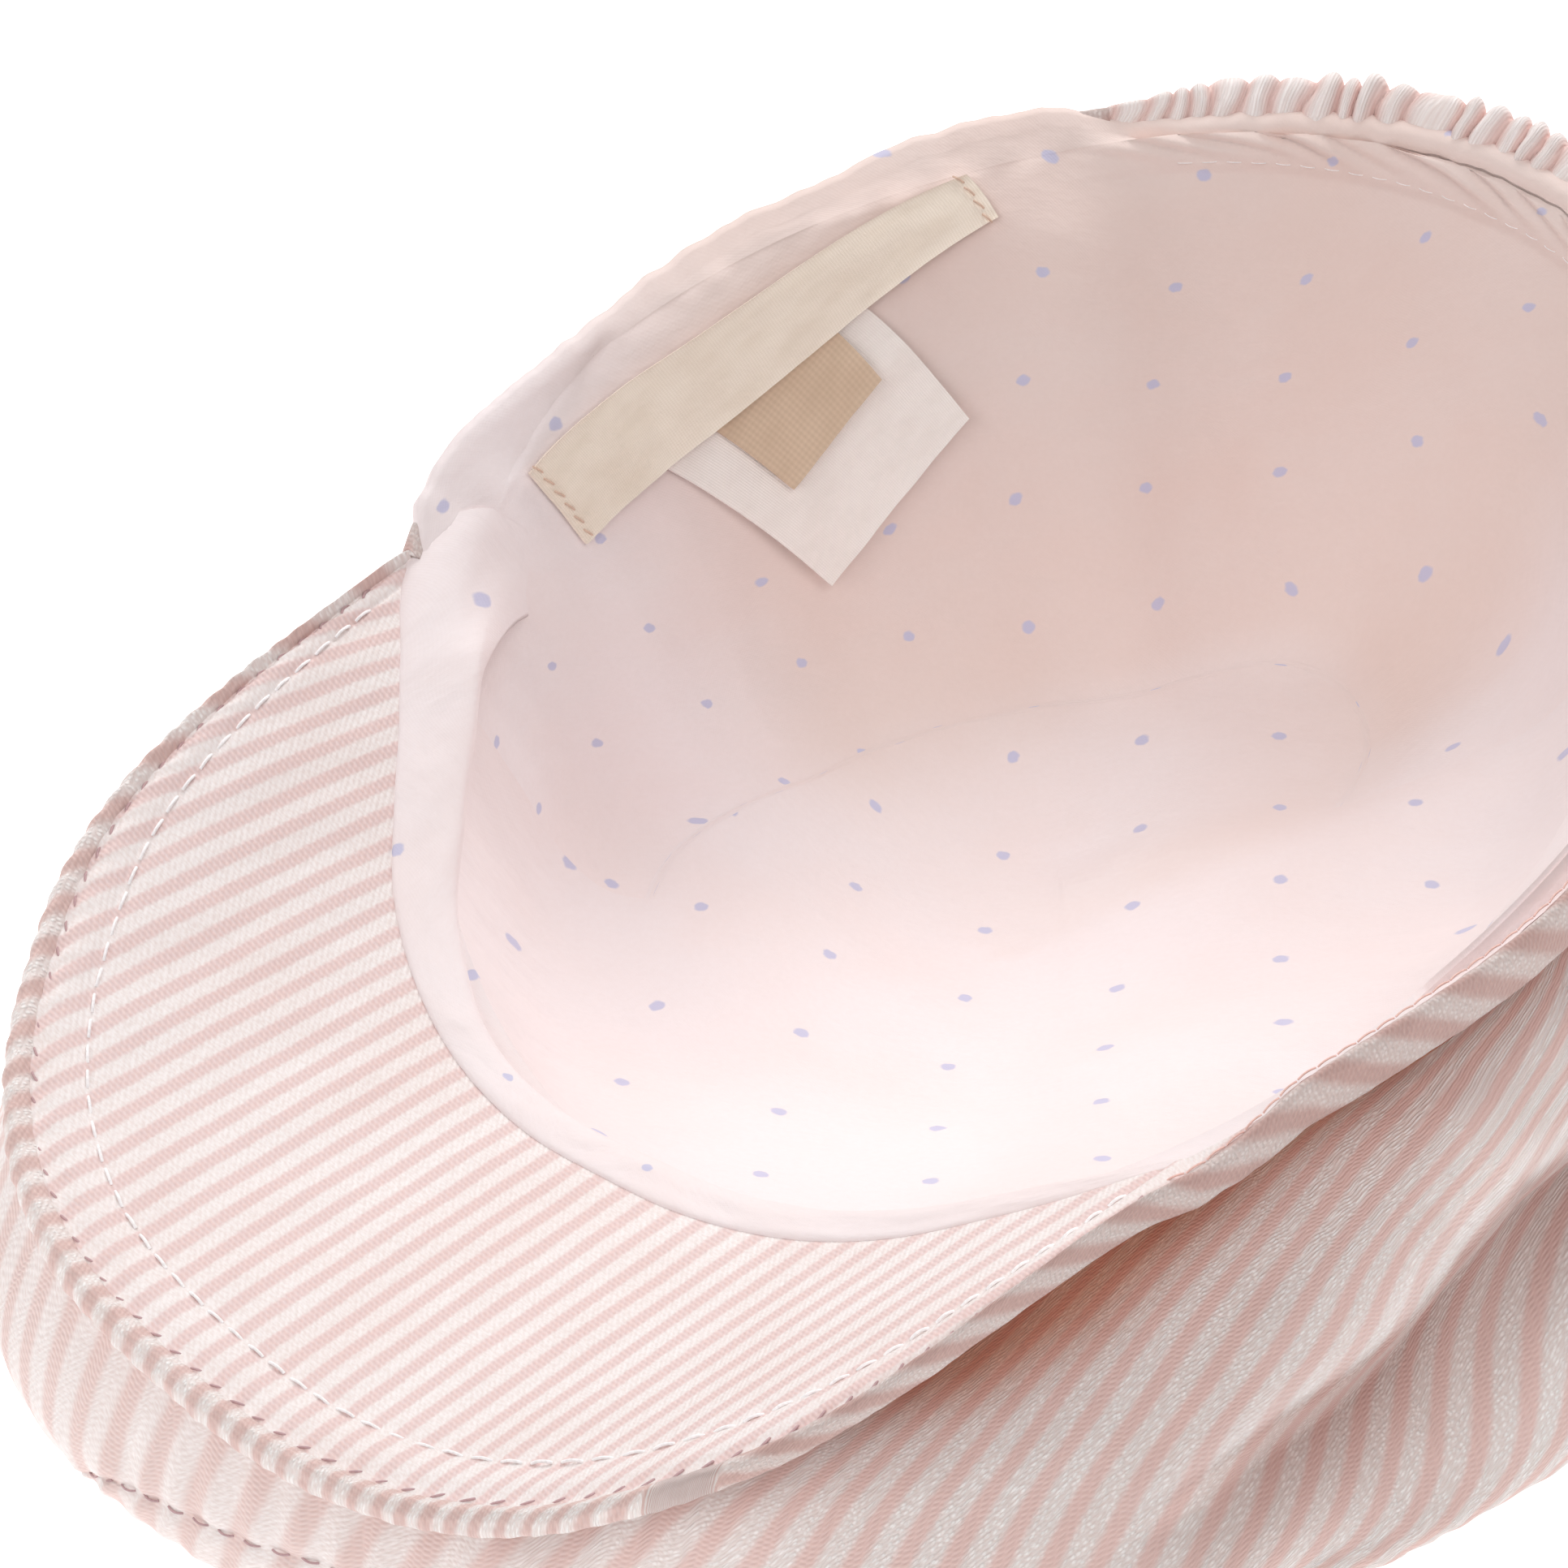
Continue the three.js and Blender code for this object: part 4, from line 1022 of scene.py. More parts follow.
def gathered_back():
    """Elastic casing: plump uneven gathers lying aslant across the band."""
    cap = settings()
    k = np.linspace(0, 1, 1000)
    angles = mix(BACK_START, 360 - BACK_START, k)
    along = arc_length(by_rim(angles, 0.0))[:, None]
    eased = (smooth(k / 0.12) * smooth((1 - k) / 0.12))[:, None]
    round_ring = np.sin(2 * math.pi * RING)
    drift = 1.3 * soft_noise(along / 19, 0.0, 21) + 0.45 * soft_noise(along / 7, 0.0, 22)
    phase = along / (cap.gather_spacing * 1000) + drift - 2.0 * RING + 0.75 * round_ring
    phase = phase + 0.2 * soft_noise(along / 5, round_ring, 23)
    lobe = np.abs(np.sin(math.pi * phase)) ** 0.75
    size = 0.75 + 0.5 * soft_noise(np.floor(phase) + 0.5, 2.5, 24)
    fine = 0.14 * soft_noise(along / 1.7, RING * 16, 25) + 0.2 * soft_noise(along / 5, RING * 6, 26)
    gathers = 0.7 + cap.gather_depth * 1000 * size * (lobe - 0.3) * 2.0 + fine
    swell = roll_swell(along, RING) * (1 - eased) + eased * gathers
    outer = rim_drift(angles)[:, None] * (1 - eased) + eased * 0.9
    low, high = crown_low(angles)[:, None], ROLL_ABOVE + 0.6 * eased
    rings, girth = rim_rings(angles, outer, RIM_THICKNESS + 1.3 * eased, low, high, swell)
    phase = np.concatenate([phase, phase[:, :1] - 2.0], 1)
    cloth = np.stack([(phase + 0.5) * cap.stripe_period * 1000, roll_cloth(along, girth)[..., 1]], -1)
    return swept("elastic_back_gathers", rings, cloth, "striped_cotton_gathered")


# ---- visor ----------------------------------------------------------------------------
def unit(way):
    return way / np.linalg.norm(way, axis=-1, keepdims=True)


def visor_edge(side):
    """Point of the visor's outer edge, side from -1 to 1."""
    corner = by_rim(VISOR_CORNER, -0.4)
    turn = np.radians(side * 90)
    s, c = np.sin(turn), np.cos(turn)
    power = 2 / VISOR_ROUNDNESS
    reach = corner[1] + OPENING_FRONT + VISOR_DEPTH
    width = mix(VISOR_HALF_WIDTH, corner[0], smooth((np.abs(side) - 0.6) / 0.4))
    x = width * np.sign(s) * np.abs(s) ** power
    y = corner[1] - reach * np.maximum(0, c) ** power
    rise = (corner[2] - VISOR_TIP_HEIGHT) * np.abs(s) ** 2.11
    edge = np.stack([x, y, VISOR_TIP_HEIGHT + rise - 2.1 * np.sin(2 * turn) ** 2], -1)
    outward = unit(edge - by_rim(side * VISOR_CORNER, -3.2))
    return edge + outward * fullness(side)[..., None]


def fullness(side):
    """Extra width of the visor, eased between the table's places."""
    spread = np.minimum(0.04, 1 - np.abs(side))
    places = (side + k * spread for k in np.linspace(-1, 1, 7))
    return np.mean([straight(VISOR_FULLNESS, "out", at, "side") for at in places], axis=0)


def visor_frame(side):
    """Inner edge, way across, way up, and width of the visor at each side value."""
    angle = side * VISOR_CORNER
    inner = by_rim(angle, around(FRONT_SEAM, "out", angle))
    span = visor_edge(side) - inner
    across = unit(span)
    along = unit(np.cross(across, UPWARD))
    return inner, across, np.cross(along, across), np.linalg.norm(span, axis=-1)


def visor_sides(steps):
    even = np.linspace(-1, 1, steps)
    return mix(even, np.sin(np.radians(even * 90)), 0.35)


def visor_cloth(points):
    """Cloth coordinates of the visor from places in plan."""
    x, y, z = np.moveaxis(points, -1, 0)
    at = x
    for _ in range(6):
        at = x - straight(VISOR_STRIPES, "lean", at, "x") * (y + 80)
    number = straight(VISOR_STRIPES, "number", at, "x")
    return np.stack([(number + 0.5) * settings().visor_stripe_period * 1000, y + 0.1 * z], -1)


def visor_rise(width):
    return 0.6 * smooth(width / 40)


def visor_top_height(sides, from_seam):
    """Height of the visor's upper face off the line from its inner to its outer edge."""
    *_, width = visor_frame(sides)
    edge_along = arc_length(visor_edge(sides))
    plain = smooth((1 - np.abs(sides)) / 0.09)
    if from_seam.ndim == 2:
        width, edge_along, plain = (v[:, None] for v in (width, edge_along, plain))
    roll = np.minimum(VISOR_ROLL, width * 0.5)
    share, from_edge = from_seam / (width - roll), width - from_seam
    swell = lambda middle, spread: np.exp(-(((from_edge - middle) / spread) ** 2))
    height = visor_rise(width) * np.sin(math.pi * np.clip(share, 0, 1)) ** 0.7
    height = height + (0.35 * swell(6.4, 2.6) - 0.3 * swell(STITCH_INSET, 0.8)) * roll / VISOR_ROLL
    soft = soft_noise(edge_along / 9, from_edge / 11, 31) * smooth(share / 0.15) * smooth(from_edge / 12)
    pucker = edge_tug(edge_along) * np.exp(-np.abs(from_edge - roll - 1.0) / 1.6)
    return height + (0.22 * soft + 0.16 * pucker - 0.55 * swell(roll, 0.7)) * plain


def edge_tug(along):
    """Puckers of the visor's edge, one to a stitch."""
    return np.sin(2 * math.pi * along / VISOR_PITCH + 1.5 * soft_noise(along / 8, 0.0, 32))


def visor():
    sides = visor_sides(420)
    inner, across, up, width = visor_frame(sides)
    top_reach = np.maximum(width - VISOR_ROLL * 0.55, 0.3 * width)[:, None] * np.linspace(0, 1, 46)
    under_reach = top_reach[:, ::3][:, ::-1]
    arch = np.sin(math.pi * under_reach / top_reach[:, -1:]) * 0.6
    under_height = visor_rise(width)[:, None] * arch - VISOR_CLOTH
    reach = np.concatenate([top_reach, under_reach], 1)
    height = np.concatenate([visor_top_height(sides, top_reach), under_height], 1)
    rings = inner[:, None] + across[:, None] * reach[..., None] + up[:, None] * height[..., None]
    rings = np.concatenate([rings, visor_wedge(reach[-1] / reach[-1].max(), height[-1])])
    return swept("visor_cover", rings, visor_cloth(closed(rings)), "striped_cotton_visor")


def visor_wedge(share, height):
    """Last rings of the visor, which run to a point between the lining and the near rim."""
    angles = np.linspace(VISOR_CORNER, WEDGE_END, 24)[1:, None]
    seam = around(FRONT_SEAM, "out", angles) - 0.3 * smooth((angles - VISOR_CORNER) / 2)
    outer = np.maximum(rim_drift(angles) - 1.9, seam + 0.2)
    rise = 0.72 * (roll_height(angles) - roll_height(VISOR_CORNER))
    return by_rim(angles, mix(seam, outer, share), height + rise)


# ---- lining ---------------------------------------------------------------------------
def lining_folds(x, y):
    return sum(ridge(x, y, fold[:2], fold[2:4], *fold[4:]) for fold in LINING_FOLDS)


def lining_point(angle, reach, lift):
    """Point off the lining's inside face; reach 0 at its edge, 1 at the wall's foot, 2 at the middle."""
    read = lambda column: around(LINING, column, angle)
    curve = [(read(f"{n}_out"), read(f"{n}_height")) for n in ("edge", "ledge", "wall", "heel")]
    curve += [(read("foot"), LINING_FLOOR + 3.5), (read("foot") - 10, LINING_FLOOR)]
    out, height, nx, ny = off_curve(curve, np.minimum(reach, 1) * (4 / 5))
    floor = np.clip(reach - 1, 0, 1)
    plan = place(angle, out, height)
    fold = lining_folds(plan[..., 0], plan[..., 1]) * smooth(reach / 0.35)
    move = lift + fold * (1 - smooth(floor / 0.2))
    x, y, z = np.moveaxis(place(angle, out - nx * move, height - ny * move), -1, 0)
    x, y = (mix(at, middle, floor) for at, middle in zip((x, y), LINING_MIDDLE))
    floor_height = mix(height, LINING_FLOOR, smooth(floor * 1.2)) + lift
    floor_height = floor_height + lining_folds(x, y) * smooth((1 - floor) / 0.3)
    return np.stack([x, y, np.where(floor > 0, floor_height, z)], -1)


def rim_along(angle):
    """Distance round the lining's rim, in millimetres, from where its cloth is cut."""
    angles = np.linspace(LINING_CUT - 360, LINING_CUT, 721)
    along = arc_length(by_rim(angles, -14.0))
    return np.interp((angle - LINING_CUT) % 360 + LINING_CUT - 360, angles, along)


def lining_wrinkles(angle, reach):
    """Fine crumples of the thin lining, and the pleats of the elastic casing at the back."""
    x, y, _ = np.moveaxis(lining_point(angle, reach, 0.0), -1, 0)
    soft = 0.6 * soft_noise(x / 19 + 3, y / 15, 41) + 0.13 * soft_noise((x + y) / 8, (x - y) / 5, 42)
    turn = signed(angle)
    at_back = smooth((turn % 360 - 128) / 14) * smooth((232 - turn % 360) / 14)
    at_far = smooth((-turn - 62) / 6) * smooth((138 + turn) / 10)
    along, down = rim_along(angle), reach * WALL_LENGTH
    phase = (along + 1.1 * down) / 6.8 + 0.45 * soft_noise(along / 15, down / 30, 43)
    share = phase - np.floor(phase)
    size = 0.65 + 0.35 * soft_noise(np.floor(phase) + 0.5, 0.0, 44)
    pleats = 1.5 * size * np.sin(math.pi * share**1.5) ** 0.8 * (1 - smooth((reach - 0.05) / 0.09))
    hem_end = CASING_REACH + 0.004 * soft_noise(along / 6, 0.0, 45)
    hem = 0.45 * (1 - smooth((reach - hem_end) / 0.012))
    lip = 0.52 * soft_noise(along / 3.6, down / 9, 46) * np.exp(-down / 4)
    lip = lip - 0.15 * np.exp(-((down / 2.0) ** 2))
    return soft * smooth(reach / 0.3) + (pleats + hem) * at_back + lip * at_far


def lining_lap(angles):
    """Rows of the lining's upper edge: over the rim at the far side, inside it at the near one."""
    turn = signed(angles)
    low, high, drift = (part(angles) for part in (crown_low, roll_height, rim_drift))
    seam = np.minimum(around(FRONT_SEAM, "out", angles) - 0.1, drift - 2.3)
    at_front = 1 - smooth((np.abs(turn) - np.where(turn > 0, 48, 58)) / np.where(turn > 0, 12, 5))
    at_far = smooth((-turn - 61) / 5) * (1 - smooth((-turn - 128) / 10))
    at_back = smooth((np.abs(turn) - 134) / 8)
    at_wedge = smooth((turn - 54) / 6) * (1 - smooth((turn - 68) / 5))
    crimp = 0.5 * soft_noise(angles / 1.9, 0.0, 51) + 0.3 * soft_noise(angles / 4.3, 0.0, 52)
    crimp_out = 0.35 * crimp * (1 - at_wedge)
    crimp_up = 0.5 * (crimp + 0.25) * np.maximum(at_far, at_back)
    rows = []
    for far_out, far_up, inward, back_out, back_up in zip(*LINING_LAP.values()):
        out = mix(mix(seam - inward, drift + far_out, at_far), -2.6 - inward, at_front)
        up = mix(mix(mix(-low, high, 0.8 - 0.12 * inward), high + far_up, at_far), -2.1, at_front)
        out = mix(out, back_out, at_back) + 0.6 * at_wedge
        up = mix(up, back_up, at_back) - (1.3 - 0.3 * inward) * at_wedge
        rows.append(by_rim(angles, out + crimp_out, up + crimp_up))
    return np.stack(rows)


def printed(raw, known, wanted, reach=26.0):
    """Cloth coordinates that bring the print's dots to known places: affine, then eased."""
    ones = lambda a: np.concatenate([np.ones((*a.shape[:-1], 1)), a], -1)
    near = lambda a, b: np.exp(-np.sum((a[..., None, :] - b) ** 2, -1) / (2 * reach**2))
    affine = np.linalg.lstsq(ones(known), wanted, rcond=None)[0]
    weights = np.linalg.solve(near(known, known) + 0.03 * np.eye(len(known)), wanted - ones(known) @ affine)
    return ones(raw) @ affine + near(raw, known) @ weights


def dot_places(table):
    """Cloth coordinates of a table's dots."""
    return settings().dot_spacing * 1000 * (np.array([table["column"], table["row"]], float).T + 0.5)


def lining():
    far = np.linspace(LINING_CUT - 360, PRINT_TURN, 270)
    angles = np.concatenate([far, np.linspace(PRINT_TURN, LINING_CUT, 221)])
    wall = np.linspace(0, 1, 72) ** 1.3
    reaches = np.concatenate([wall, 1 + np.linspace(0, 1, 22)])
    angle, reach = np.meshgrid(angles[:-1], reaches)
    extra = lining_wrinkles(angle, reach)
    lap = lining_lap(angles[:-1])
    sheets = []
    for depth in (0.0, LINING_CLOTH):
        inside = eased_foot(lining_point(angle, reach, extra - depth), reaches)
        sheets.append(np.concatenate([lap - [0, 0, 0.7 * depth], inside]))
    ring = closed(sheets[0])
    down = arc_length(ring)
    down = down - down[len(lap)]
    along = np.broadcast_to(rim_along(np.minimum(angles, LINING_CUT - 1e-6)), down.shape)
    columns = [int(np.argmin(np.abs(angles - a))) for a in WALL_DOTS["angle"]]
    dot_down = [np.interp(r, reaches, down[len(lap) :, c]) for r, c in zip(WALL_DOTS["reach"], columns)]
    wall_known = np.stack([along[0][columns], dot_down], -1)
    cloth = printed(np.stack([along, down], -1), wall_known, dot_places(WALL_DOTS))
    floor_known = np.array([FLOOR_DOTS["x"], FLOOR_DOTS["y"]]).T
    floor_cloth = printed(ring[..., :2], floor_known, dot_places(FLOOR_DOTS))
    for part in (np.s_[len(lap) + len(wall) :], np.s_[:, len(far) :]):
        cloth[part] = floor_cloth[part]
    made = shell("lining_cloth", *sheets, cloth, "dotted_lawn", ring=True)
    # Painted shade on the lining's far wall.
    add_shade(made, deep=far_side_shade_share(made))
    return made


def far_side_shade_share(made):
    """How far each point lies up the lining's far wall, which painted shade makes darker and warmer, 0 to 1."""
    places = np.empty(len(made.data.vertices) * 3)
    made.data.vertices.foreach_get("co", places)
    x, y, z = (places.reshape(-1, 3) * 1000 - FOOTPRINT_SHIFT).T
    turn = np.degrees(np.arctan2(x / OPENING_HALF_WIDTH, -y / OPENING_BACK))
    return np.clip(smooth((-turn - 78) / 25) + smooth((turn - 150) / 25), 0, 1) * smooth((z - 8) / 10)


def wall_height(angle, out):
    """Height of the lining's upper wall at a distance outward from the opening's edge."""
    read = lambda name: (around(LINING, f"{name}_out", angle), around(LINING, f"{name}_height", angle))
    (edge_out, edge_up), (ledge_out, ledge_up), (wall_out, wall_up) = map(read, ("edge", "ledge", "wall"))
    upper = edge_up + (out - edge_out) * (ledge_up - edge_up) / (ledge_out - edge_out)
    lower = ledge_up + (out - ledge_out) * (wall_up - ledge_up) / (wall_out - ledge_out)
    inside = np.where(out > ledge_out, upper, lower)
    return np.where(out > edge_out, edge_up + 0.5 * (out - edge_out), inside)


def eased_foot(rows, reaches):
    """Rounds the turn from the lining's wall to its floor by averaging along each column."""
    weight = (smooth((reaches - 0.72) / 0.2) * smooth((1.8 - reaches) / 0.4))[:, None, None]
    for _ in range(40):
        near = rows.copy()
        near[1:-1] = 0.5 * rows[1:-1] + 0.25 * (rows[:-2] + rows[2:])
        rows = mix(rows, near, weight)
    return rows


# ---- facing band ----------------------------------------------------------------------
def facing():
    """Band inside the visor's seam, which ends at the far corner in a folded peak."""
    angles = np.linspace(FACING["angle"][0], FACING["angle"][-1], 300)[:, None]
    width = around(FACING, "width", angles)
    fine = fine_outline(FACING_OUTLINE)
    across, upward = fine.T
    inward = np.clip(across, 0, 1)
    at_far, at_near = smooth((-50 - angles) / 12), smooth((64 - angles) / 14)
    from_peak = angles - angles[0]
    along = arc_length(by_rim(angles, -5.0))
    uneven = 0.22 * soft_noise(along / 9, across * 2.0, 61) + 0.1 * soft_noise(along / 3.4, across * 4.0, 62)
    wave = 0.21 * soft_noise(along / 12, 0.0, 63)
    hang = np.clip(-upward - 0.6, 0, 2) * smooth((across - 0.9) / 0.08) * at_far
    out = around(FRONT_SEAM, "out", angles) + 0.35 - (width + wave) * across - 1.2 * hang
    height = upward * np.clip(width / 5, 0.25, 1) + 0.25 * at_near - 0.05 - 1.7 * hang
    height = height + uneven * at_near * np.sin(math.pi * inward)
    slanted = angles - FACING_PEAK * (1 - smooth(from_peak / 16)) * inward
    flush = (1 - smooth((from_peak - 2) / 11)) * smooth((across - 0.3) / 0.5)
    height = mix(opening_height(slanted) + height, wall_height(slanted, out) + 0.3 + 0.4 * upward, flush)
    cloth = facing_cloth(angles, along, girth_of(fine, 8.0, 1.0))
    return swept("front_facing_cloth", place(slanted, out, height), cloth, "dotted_lawn")


def facing_cloth(angles, along, girth):
    """Cloth coordinates of the facing, whose dots fall at the table's places and no others."""
    spacing = settings().dot_spacing * 1000
    known = np.interp(FACING_DOTS["angle"], angles[:, 0], along[:, 0])
    number = np.interp(along, known, 2.0 * np.arange(len(known)))
    number = number + (along - np.clip(along, known[0], known[-1])) / spacing
    middle = len(known) - 1
    aside = np.where(np.abs(number - middle) < middle + 1, np.sin(math.pi * number / 2) ** 2, 1.0)
    across = girth - np.interp(along, known, FACING_DOTS["girth"]) + spacing * (0.5 + 0.5 * aside)
    return np.stack(np.broadcast_arrays((number + 0.5) * spacing, across), -1)


# ---- labels ---------------------------------------------------------------------------
def label_point(spec, across, down, lift):
    """Point of a label, across and down from 0 to 1."""
    corners = (spec["angles"], spec["reaches"])
    angle, reach = (mix(mix(*top, across), mix(*low, across), down) for top, low in corners)
    middle = np.sin(math.pi * across)
    rise = spec["clear"] + spec["bow"] * middle + spec["flare"] * down**2
    return lining_point(angle, reach + mix(*spec["sag"], down) * middle, rise + lift)


def label(name, spec):
    width, length = spec["size"]
    across, down = np.meshgrid(np.linspace(0, 1, 150), np.linspace(0, 1, 40))
    x, y = across * width, down * length
    ripple = 0.28 * soft_noise(x / 9, y / 9, 71) + 0.1 * soft_noise(x / 3, y / 4, 72)
    ripple = ripple + 0.15 * np.exp(-np.minimum(y, length - y) / 0.5)
    front, back = (label_point(spec, across, down, depth + ripple) for depth in (LABEL_CLOTH, 0.0))
    return shell(name, front, back, np.stack([x, y], -1), spec["material"])


# ---- stitches -------------------------------------------------------------------------
def stitch_tree():
    """Geometry nodes that lay a row of stitches along a path of edges."""
    found = bpy.data.node_groups.get("sewn_row")
    if found:
        return found
    tree = bpy.data.node_groups.new("sewn_row", "GeometryNodeTree")
    numbers = ("Pitch", "Stitch Length", "Thread Radius", "Rise", "Turn Jitter", "Slant")
    kinds = {"Path": "Geometry", **dict.fromkeys(numbers, "Float"), "Seed": "Int", "Thread": "Material"}
    for name, kind in kinds.items():
        tree.interface.new_socket(name, in_out="INPUT", socket_type=f"NodeSocket{kind}")
    tree.interface.new_socket("Stitches", in_out="OUTPUT", socket_type="NodeSocketGeometry")

    given = {name: add(tree, "NodeGroupInput", output=name) for name in kinds}
    pitch, length, radius, rise, jitter, slant = (given[name] for name in numbers)

    # one stitch: a thread bent over the cloth
    half, sunk = length * 0.5, radius * -1.2
    arc = add(tree, "GeometryNodeCurveQuadraticBezier", {
        "Resolution": 7,
        "Start": add(tree, "ShaderNodeCombineXYZ", {0: half * -1.0, 2: sunk}),
        "Middle": add(tree, "ShaderNodeCombineXYZ", {2: rise * 2.2}),
        "End": add(tree, "ShaderNodeCombineXYZ", {0: half, 2: sunk}),
    })
    section = add(tree, "GeometryNodeCurvePrimitiveCircle", {"Resolution": 6, "Radius": radius}, mode="RADIUS")
    inputs = {"Curve": arc, "Profile Curve": section, "Fill Caps": True}
    thread = add(tree, "GeometryNodeCurveToMesh", inputs)

    # its places along the path, each turned along the row, upright off the cloth, and a little aslant
    curve = add(tree, "GeometryNodeMeshToCurve", {"Mesh": given["Path"]})
    spaced = add(tree, "GeometryNodeResampleCurve", {"Curve": curve, "Length": pitch}, mode="LENGTH")
    points = add(tree, "GeometryNodeCurveToPoints", {"Curve": spaced}, mode="EVALUATED")
    tangent = Signal(points.socket.node.outputs["Tangent"])
    cloth_up = add(tree, "GeometryNodeInputNamedAttribute", {"Name": "cloth_up"}, data_type="FLOAT_VECTOR")
    align = "FunctionNodeAlignRotationToVector"
    aim = add(tree, align, {"Vector": tangent}, axis="X", pivot_axis="AUTO")
    upright = add(tree, align, {"Rotation": aim, "Vector": cloth_up}, axis="Z", pivot_axis="X")
    inputs = {2: slant - jitter, 3: slant + jitter, "Seed": given["Seed"]}
    angle = add(tree, "FunctionNodeRandomValue", inputs, 1, data_type="FLOAT")
    swing = add(tree, "FunctionNodeAxisAngleToRotation", {"Axis": (0, 0, 1), "Angle": angle})
    inputs = {"Rotation": upright, "Rotate By": swing}
    turned = add(tree, "FunctionNodeRotateRotation", inputs, rotation_space="LOCAL")
    inputs = {"Points": points, "Instance": thread, "Rotation": turned}
    stitches = add(tree, "GeometryNodeRealizeInstances", {0: add(tree, "GeometryNodeInstanceOnPoints", inputs)})
    inputs = {"Geometry": add(tree, "GeometryNodeSetShadeSmooth", {0: stitches}), "Material": given["Thread"]}
    add(tree, "NodeGroupOutput", {0: add(tree, "GeometryNodeSetMaterial", inputs)})
    return tree


def sewn_row(name, slot, points, ups, thread, pitch, length, seed, radius=0.2, rise=0.2, slant=0.0):
    """Row of stitches along points in millimetres, each with the way up off the cloth."""
    mesh = bpy.data.meshes.new(name + "_path")
    mesh.from_pydata(to_metres(points).tolist(), [(k, k + 1) for k in range(len(points) - 1)], [])
    layer = mesh.attributes.new("cloth_up", "FLOAT_VECTOR", "POINT")
    layer.data.foreach_set("vector", np.asarray(ups, np.float32).ravel())
    made = linked(name, mesh)
    modifier = made.modifiers.new("sewn_row", "NODES")
    modifier.node_group = stitch_tree()
    values = {
        "Pitch": pitch * 0.001,
        "Stitch Length": length * 0.001,
        "Thread Radius": radius * settings().thread_scale * 0.001,
        "Rise": rise * 0.001,
        "Turn Jitter": 0.06,
        "Slant": slant,
        "Seed": seed,
        "Thread": material(thread),
    }
    for socket in modifier.node_group.interface.items_tree:
        if socket.name in values:
            modifier[socket.identifier] = values[socket.name]
    evaluated = made.evaluated_get(bpy.context.evaluated_depsgraph_get())
    plain = bpy.data.meshes.new_from_object(evaluated)
    made.modifiers.clear()
    made.data = plain
    bpy.data.meshes.remove(mesh)
    plain.name = name
    dress(made, slot)


def visor_row(name, inset, thread, length, lift, ends=0.93, **look):
    sides = np.linspace(-ends, ends, 700)
    inner, across, up, width = visor_frame(sides)

    def at(from_edge):
        from_seam = np.maximum(width - from_edge, 0.2 * width)
        height = visor_top_height(sides, from_seam) + lift
        return inner + across * from_seam[:, None] + up * height[:, None]

    here = at(inset)
    ups = ways_up(here, at(inset + 0.4))
    sewn_row(name, "striped_cotton", here, ups, thread, VISOR_PITCH, length, **look)


def ways_up(here, beside, towards=UPWARD):
    """Ways up off a surface from two nearby rows of points, on the side of a given way."""
    up = unit(np.cross(np.gradient(here, axis=0), beside - here))
    return up * np.sign(np.sum(up * towards, axis=1, keepdims=True))


# ---- operators ------------------------------------------------------------------------
def metre(name, description, default):
    return FloatProperty(name=name, description=description, default=default, unit="LENGTH", precision=5)


def shade(name, description, code):
    looks = {"default": to_linear(code), "subtype": "COLOR", "size": 3, "min": 0, "max": 1}
    return FloatVectorProperty(name=name, description=description, **looks)


class DriverCapSettings(PropertyGroup):
    """Sizes and colours of the driver cap."""

    stripe_period: metre("Crown stripe", "Width of one white and one pink stripe of the crown", 0.005)
    visor_stripe_period: metre("Visor stripe", "Width of one white and one pink stripe of the visor", 0.0033)
    dot_spacing: metre("Dot spacing", "Distance between the lining's dots", 0.0152)
    dot_size: metre("Dot size", "Diameter of the lining's dots", 0.0015)
    gather_spacing: metre("Gather spacing", "Usual distance between the gathers of the elastic back", 0.0036)
    gather_depth: metre("Gather depth", "How far the gathers of the elastic back swell", 0.00095)
    thread_scale: FloatProperty(
        name="Thread scale", description="Thickness of the sewing threads", default=1.0, min=0.3, max=3.0
    )
    white_yarn: shade("White yarn", "Cotton of the white stripes", "#faf2f0")
    pink_yarn: shade("Pink yarn", "Cotton of the pink stripes", "#e8cac4")
    soft_pink_yarn: shade("Soft pink yarn", "Cotton of the visor's pink stripes", "#f0dad8")
    lining_colour: shade("Lining", "Cotton lawn of the lining", "#f1e5e5")
    dot_colour: shade("Dots", "Print of the lining's dots", "#c6c3dc")
    cream_tape: shade("Cream tape", "Woven main label", "#f6e8da")
    tan_tape: shade("Tan tape", "Woven size label", "#dcc1a8")
    white_ribbon: shade("White ribbon", "Satin care label", "#fdf4ef")
    white_thread: shade("White thread", "Sewing thread of the visor and casing", "#fffafa")
    taupe_thread: shade("Taupe thread", "Sewing thread of the edges", "#c09ea0")
    pink_thread: shade("Pink thread", "Sewing thread of the seams", "#edc4ba")
    tan_thread: shade("Tan thread", "Sewing thread of the label", "#d8b8a4")


